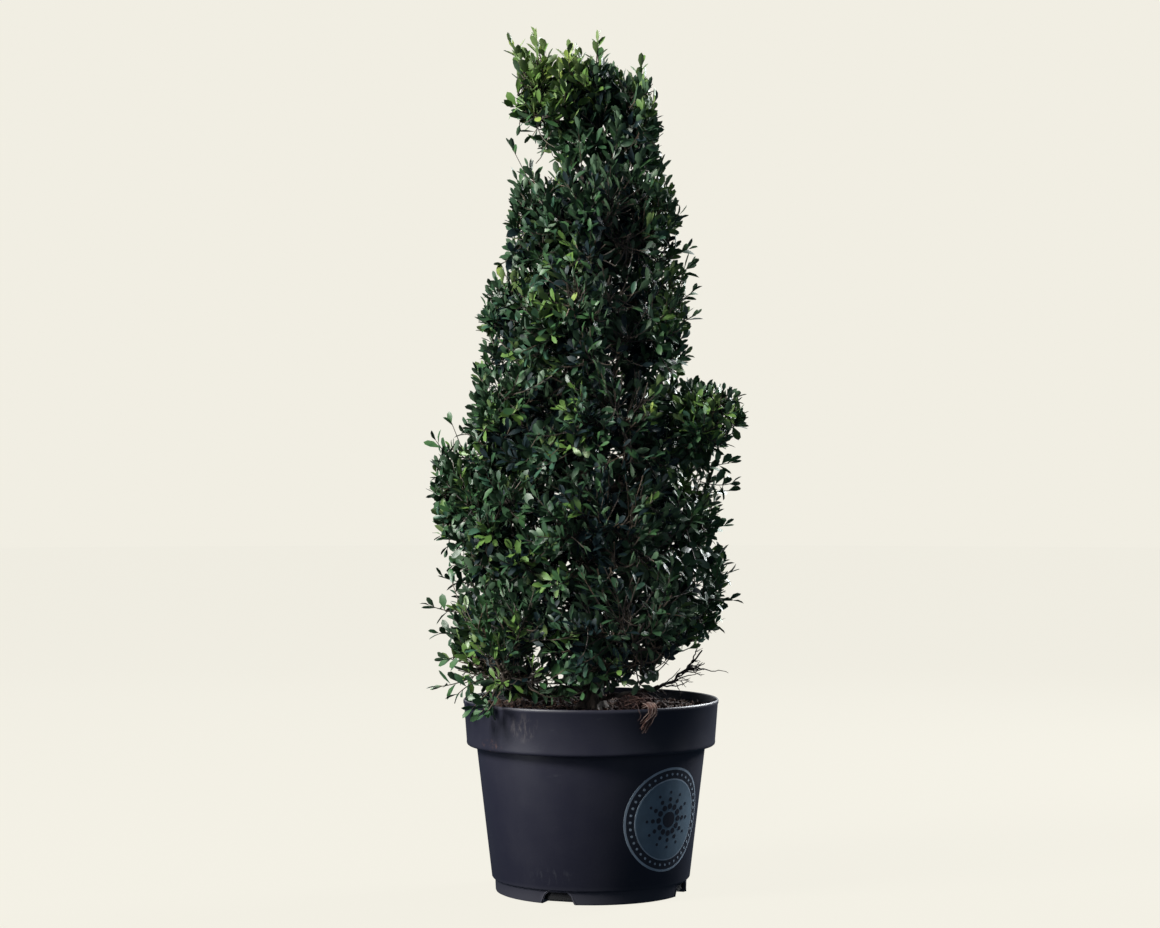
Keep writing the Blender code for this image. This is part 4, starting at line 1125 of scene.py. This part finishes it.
def make_crumbs(rng, rim, peat):
    """Loose crumbs of two kinds of peat."""
    materials = [peat, soil_material("peat_red", (0.060, 0.030, 0.022), (0.170, 0.090, 0.060))]
    ball = bmesh.new()
    bmesh.ops.create_icosphere(ball, subdivisions=1, radius=1.0)
    corners = np.array([v.co for v in ball.verts])
    faces = [tuple(v.index for v in face.verts) for face in ball.faces]
    ball.free()
    radii = rim * np.sqrt(rng.uniform(0.012, 0.98, CRUMBS))
    angles = rng.uniform(0, 2 * np.pi, CRUMBS)
    sizes = rng.gamma(3.0, 0.00055, CRUMBS).clip(CRUMB_LEAST, CRUMB_MOST)
    x, y = radii * np.cos(angles), radii * np.sin(angles)
    z = np.array([SOIL_TOP + soil_height(*spot) for spot in zip(x, y)]) + sizes * CRUMB_SHOWN
    shapes = corners * rng.uniform(0.65, 1.25, (CRUMBS, len(corners), 1)) * sizes[:, None, None]
    shapes *= rng.uniform(0.6, 1.3, (CRUMBS, 1, 3))
    soup = Soup()
    soup.add(shapes + np.stack((x, y, z), -1)[:, None], faces, rng.integers(0, 2, (CRUMBS, 1)))
    place(soup.build("soil_crumbs", materials, 35.0), "soil")


def make_litter(rng, rim):
    """Short bits of root and stalk lying on the peat."""
    radii, angles = rim * np.sqrt(rng.uniform(0.06, 0.92, LITTER)), rng.uniform(0, 2 * np.pi, LITTER)
    flat = np.zeros(LITTER)
    middles = np.stack((radii * np.cos(angles), radii * np.sin(angles), flat), -1)
    turns = rng.uniform(0, np.pi, LITTER)
    halves = np.stack((np.cos(turns), np.sin(turns), flat), -1)
    halves *= rng.uniform(*LITTER_HALVES, LITTER)[:, None]
    starts, ends = middles - halves, middles + halves
    bends = middles + rng.normal(0.0, 0.004, middles.shape)
    t = np.linspace(0.0, 1.0, LITTER_RINGS)
    lines = curve(starts[:, None], bends[:, None], ends[:, None], t)[0]
    away = np.hypot(lines[..., 0], lines[..., 1])
    lines = lines[(away.max(1) < rim - 0.002) & (away.min(1) > CLEAR_OF_TRUNK)]
    for line in lines:
        for point in line:
            point[2] = SOIL_TOP + soil_height(point[0], point[1]) + 0.0008
    soup = Soup()
    soup.add_tubes(lines, rng.uniform(*LITTER_RADII, (len(lines), 1)), 5)
    fibre = fibre_material("litter", (0.050, 0.028, 0.018), (0.210, 0.140, 0.090))
    place(soup.build("soil_litter", [fibre]), "root_fibre")


# ---------------------------------------------------------------- root fibre over the rim
ROOT_LOOPS = 190
ROOT_LOOP_RINGS = 14
ROOT_LOOP_SWEEP = (1.2, 4.0)  # how much of a turn each loop of the knot makes, in radians
ROOT_LOOP_SIZES = (0.45, 1.30)
ROOT_STRANDS = 36
ROOT_STRAND_RINGS = 22
ROOT_LOOSE_EACH = 6  # one strand in so many is a loose hair
ROOT_DRIFT = 0.085  # how far round the pot the bundle drifts on its way down, in radians


def root_point(azimuth, radius, height):
    """Points at an azimuth, a distance from the pot's axis and a height."""
    return np.stack((radius * np.cos(azimuth), radius * np.sin(azimuth), height), -1)


def add_root_knot(soup, rng):
    """Tangled fibre: loops of many sizes, which stay above the peat and the rim."""
    azimuth = math.radians(ROOT_AZIMUTH_DEG)
    cos, sin = math.cos(azimuth), math.sin(azimuth)
    axes = np.array(((cos, sin, 0.0), (-sin, cos, 0.0), UP))
    middle = root_point(azimuth, ROOT_KNOT_RADIUS - 0.006, ROOT_KNOT_HEIGHT + 0.003)
    t = np.linspace(0.0, 1.0, ROOT_LOOP_RINGS)
    first = unit(rng.normal(size=(ROOT_LOOPS, 3)))
    second = square_to(first, rng.normal(size=(ROOT_LOOPS, 3)))
    one_each = (ROOT_LOOPS, 1)
    sweep = rng.uniform(0, 2 * np.pi, one_each) + t * rng.uniform(*ROOT_LOOP_SWEEP, one_each)
    loops = first[:, None] * np.cos(sweep)[..., None] + second[:, None] * np.sin(sweep)[..., None]
    loops *= rng.uniform(*ROOT_LOOP_SIZES, (ROOT_LOOPS, 1, 1))
    loops += np.cumsum(rng.normal(0, 0.05, loops.shape), axis=1)
    world = middle + (loops * ROOT_KNOT) @ axes
    x, y, z = np.moveaxis(world, -1, 0)
    lowest = np.where(np.hypot(x, y) > RIM_RADIUS - 0.006, POT_HEIGHT + 0.0012, SOIL_TOP + 0.001)
    world[..., 2] = np.maximum(z, lowest)
    radii = rng.uniform(0.0003, 0.0009, one_each)
    soup.add_tubes(world, radii, 4, slot=rng.integers(0, 2, one_each))


def add_root_strands(soup, rng):
    """One frayed bundle over the rim that narrows and drifts to one side, with a few loose hairs."""
    azimuth = math.radians(ROOT_AZIMUTH_DEG)
    s = np.linspace(0.0, 1.0, ROOT_STRAND_RINGS)
    over = np.clip((s - 0.30) / 0.70, 0.0, 1.0)  # 0 up to the rim, 1 at the lower end
    stations = (0.0, 0.24, 0.32, 0.45, 1.0)  # the knot, inside the rim, on it, below it, and the end
    lines = np.zeros((ROOT_STRANDS, ROOT_STRAND_RINGS, 3))
    for n in range(ROOT_STRANDS):
        loose = n % ROOT_LOOSE_EACH == 0
        hang = ROOT_HANG * (rng.uniform(0.35, 0.75) if loose else rng.uniform(0.55, 1.05))
        width = 0.060 if loose else 0.024
        turn = azimuth + rng.normal(0, width) * (1.0 - 0.60 * over) + 0.022 - ROOT_DRIFT * over**1.4
        turn += np.cumsum(rng.normal(0, 0.0030, ROOT_STRAND_RINGS))
        radius = np.interp(s, stations, (
            ROOT_KNOT_RADIUS + rng.uniform(-0.004, 0.008),
            RIM_RADIUS - 0.004,
            RIM_RADIUS + 0.0010,
            RIM_RADIUS + 0.0014 + rng.uniform(0.0, 0.0012),
            RIM_RADIUS + 0.0010 + rng.uniform(0.0, 0.0028),
        ))
        height = np.interp(s, stations, (
            ROOT_KNOT_HEIGHT + rng.uniform(-0.004, 0.006),
            POT_HEIGHT + 0.0030 + rng.uniform(0.0, 0.0025),
            POT_HEIGHT + 0.0014 + rng.uniform(0.0, 0.0010),
            POT_HEIGHT - 0.0040,
            POT_HEIGHT - hang,
        ))
        lines[n] = root_point(turn, radius, height)
    one_each = (ROOT_STRANDS, 1)
    radii = rng.uniform(0.0004, 0.0010, one_each) * np.linspace(1.0, 0.40, ROOT_STRAND_RINGS)
    side = np.array((-math.sin(azimuth), math.cos(azimuth), 0.0))
    soup.add_tubes(lines, radii, 5, slot=rng.integers(0, 3, one_each), aside=side)


def make_root_tuft():
    """A knot of root fibre on the peat, and a bundle of it that hangs over the rim."""
    rng = np.random.default_rng(SEED + 200)
    soup = Soup()
    add_root_knot(soup, rng)
    add_root_strands(soup, rng)
    fibres = [
        fibre_material("root_dark", (0.018, 0.009, 0.009), (0.050, 0.024, 0.020)),
        fibre_material("root_red", (0.036, 0.015, 0.012), (0.090, 0.042, 0.032)),
        fibre_material("root_pale", (0.080, 0.048, 0.042), (0.200, 0.140, 0.120)),
    ]
    place(soup.build("root_fibres", fibres), "root_fibre", "root_tuft")


# ---------------------------------------------------------------- bare branch
LEVEL_TWIGS = (  # foot and tip of the twigs that the photo shows one by one
    ((0.104, -0.054, 0.2500), (0.146, -0.062, 0.2455)),
    ((0.090, -0.047, 0.2320), (0.120, -0.052, 0.2420)),
    ((0.075, -0.040, 0.2260), (0.094, -0.044, 0.2505)),
)
# The other twigs, order by order: how many, the longest, the radius, and how far out on the limb
# they start, in points of its line.
DEAD_TWIGS = ((13, 0.030, 0.0010, 12), (34, 0.016, 0.0006, 2), (40, 0.008, 0.0004, 2))
DEAD_TWIG_RINGS = 10
DEAD_LEAN = (0.35, 1.15)  # how far they lean away from what they grow on, in radians
DEAD_DRAWN = (0.35, 0.0, -0.05)  # where they are drawn to: a little to the right


def crooked(starts, ways, rng, rings, wander):
    """Lines that run from starts along ways and change course a little at every ring."""
    steps = np.linspace(0.0, 1.0, rings)[None, :, None] * ways[:, None]
    drift = np.cumsum(rng.normal(0.0, wander, (len(starts), rings, 3)), axis=1)
    drift -= drift[:, :1]
    return starts[:, None] + steps + drift * np.linalg.norm(ways, axis=-1)[:, None, None]


def side_ways(along, lean, length, rng):
    """Ways that leave the directions along at a lean, to any side."""
    side = square_to(along, rng.normal(size=along.shape))
    ways = unit(along * np.cos(lean)[:, None] + side * np.sin(lean)[:, None] + DEAD_DRAWN)
    return ways * length[:, None]


def make_bare_branch(bark):
    """The dead branch: a knotty limb, crooked twigs of uneven length, and finer twigs on those."""
    rng = np.random.default_rng(SEED + 300)
    p0, p1, p2, p3 = (np.array(p) for p in BARE_BRANCH)
    middle = p1 + (p2 - p1) * 0.6
    t = np.linspace(0.0, 1.0, 22)
    limb = np.concatenate((curve(p0, p1, middle, t)[0], curve(middle, p2, p3, t)[0][1:]))
    limb += rng.normal(0.0, 0.0006, limb.shape)
    soup = Soup()
    radii = BARE_RADIUS * np.linspace(1.0, 0.30, len(limb)) * rng.uniform(0.85, 1.2, len(limb))
    add_limb(soup, limb, radii, 10)
    roots, along = limb, unit(np.gradient(limb, axis=0))
    feet, tips = np.array(LEVEL_TWIGS).swapaxes(0, 1)
    level = crooked(feet, tips - feet, rng, 12, 0.020)
    soup.add_tubes(level, np.linspace(0.0009, 0.0003, 12), 5)
    for count, longest, radius, first in DEAD_TWIGS:
        picked = rng.integers(first, len(roots) - 5, count)
        length = longest * rng.uniform(0.35, 1.0, count) ** 1.3
        ways = side_ways(along[picked], rng.uniform(*DEAD_LEAN, count), length, rng)
        lines = crooked(roots[picked], ways, rng, DEAD_TWIG_RINGS, 0.030)
        soup.add_tubes(lines, radius * np.linspace(1.0, 0.45, DEAD_TWIG_RINGS), 5)
        roots, along = lines.reshape(-1, 3), unit(np.gradient(lines, axis=1)).reshape(-1, 3)
    place(soup.build("dead_branch", [bark], 70.0), "bark", "bare_branch")


# ---------------------------------------------------------------- studio
CREAM = (0.879, 0.855, 0.768)
# The key is high on the left, the strip draws the pot's sheen, the right one lights that side's edge.
LIGHTS = {  # place, the height it looks at, width and height, watts and colour
    "key": ((-2.3, -1.5, 2.3), 0.6, (1.0, 1.0), 235.0, (1.0, 0.99, 0.93)),
    "strip": ((-2.2, -1.1, 0.7), 0.4, (0.7, 1.6), 30.0, (0.92, 0.94, 1.0)),
    "back": ((0.0, 2.3, 1.5), 0.5, (3.4, 2.0), 36.0, (0.94, 0.96, 1.0)),
    "right": ((1.7, 1.3, 1.5), 0.5, (0.8, 1.2), 130.0, (0.95, 0.98, 1.0)),
    "fill": ((1.7, -2.0, 0.9), 0.5, (2.0, 1.6), 8.0, (0.78, 0.88, 1.0)),
}
SKY = (0.44, 0.68, 1.0)
SKY_STRENGTH = 0.065
CAMERA_PLACE = (-0.012, -2.80, 0.467)
CAMERA_SENSOR_MM = 36.0
CAMERA_LENS_MM = 79.14


def glow_material(name, strength, diffuse):
    """Pale paper that glows evenly, with a little diffuse for a contact shadow."""
    s = Shader(name, 0.9)
    for socket, value in {
        "Base Color": (*(c * diffuse for c in CREAM), 1.0),
        "Specular IOR Level": 0.0,
        "Emission Color": (*CREAM, 1.0),
        "Emission Strength": strength,
    }.items():
        s.shader.inputs[socket].default_value = value
    return s.material


def make_stage():
    """A pale floor and a pale sky dome that only the camera sees."""
    floor = bmesh.new()
    bmesh.ops.create_circle(floor, cap_ends=True, radius=12.0, segments=96)
    floor = from_bmesh("studio_floor", floor, [glow_material("floor_paper", 0.985, 0.016)])
    dome = bmesh.new()
    bmesh.ops.create_icosphere(dome, subdivisions=5, radius=11.9)
    dome = from_bmesh("studio_dome", dome, [glow_material("dome_paper", 1.0, 0.0)])
    for stage in (floor, dome):
        stage.visible_diffuse = stage.visible_glossy = stage.visible_shadow = False


def make_lights():
    """Soft boxes that the camera doesn't see, and a dim sky."""
    for name, (spot, looks_at, size, power, colour) in LIGHTS.items():
        data = bpy.data.lights.new(name, "AREA")
        data.shape, (data.size, data.size_y) = "RECTANGLE", size
        data.energy, data.color = power, colour
        made = in_scene(name, data)
        made.location = spot
        way = Vector((0.0, 0.0, looks_at)) - Vector(spot)
        made.rotation_euler = way.to_track_quat("-Z", "Y").to_euler()
        made.visible_camera = False
    world = bpy.data.worlds.new("studio")
    bpy.context.scene.world = world
    world.use_nodes = True
    sky = world.node_tree.nodes["Background"]
    sky.inputs["Color"].default_value = (*SKY, 1.0)
    sky.inputs["Strength"].default_value = SKY_STRENGTH


def make_camera():
    """Level with the middle of the plant, 2.8 m in front of it."""
    data = bpy.data.cameras.new("camera")
    data.sensor_width, data.lens = CAMERA_SENSOR_MM, CAMERA_LENS_MM
    made = bpy.context.scene.camera = in_scene("camera", data)
    made.location = CAMERA_PLACE
    made.rotation_euler = (math.pi / 2, 0.0, 0.0)


# ---------------------------------------------------------------- the whole scene
LIVE_BARK = ((0.020, 0.015, 0.012), (0.085, 0.064, 0.048), (0.120, 0.114, 0.098))
DEAD_BARK = ((0.014, 0.010, 0.009), (0.060, 0.044, 0.036), (0.10, 0.09, 0.08))


def main():
    make_camera()
    make_stage()
    make_lights()
    bpy.context.scene.view_settings.view_transform = "Standard"

    limbs = Limbs()
    shares = np.linspace(0.0, 1.0, 25)
    limbs.add(trunk_points(shares), trunk_radii(shares))
    masses = all_masses()
    boughs = {mass.name: bough_line(mass, masses, limbs) for mass in masses if mass.bough_drop}
    for root, bend, entry, foot in boughs.values():
        t = np.linspace(0.0, 1.0, BOUGH_RINGS)
        limbs.add(curve(root, bend, entry, t)[0], foot + (BOUGH_TIP_RADIUS - foot) * t)

    make_limbs(boughs, bark_material("bark", *LIVE_BARK))
    make_bare_branch(bark_material("dead_bark", *DEAD_BARK))
    make_crown(masses, boughs, limbs)
    make_pot(plastic_material())
    make_badge()
    make_soil()
    make_root_tuft()


main()
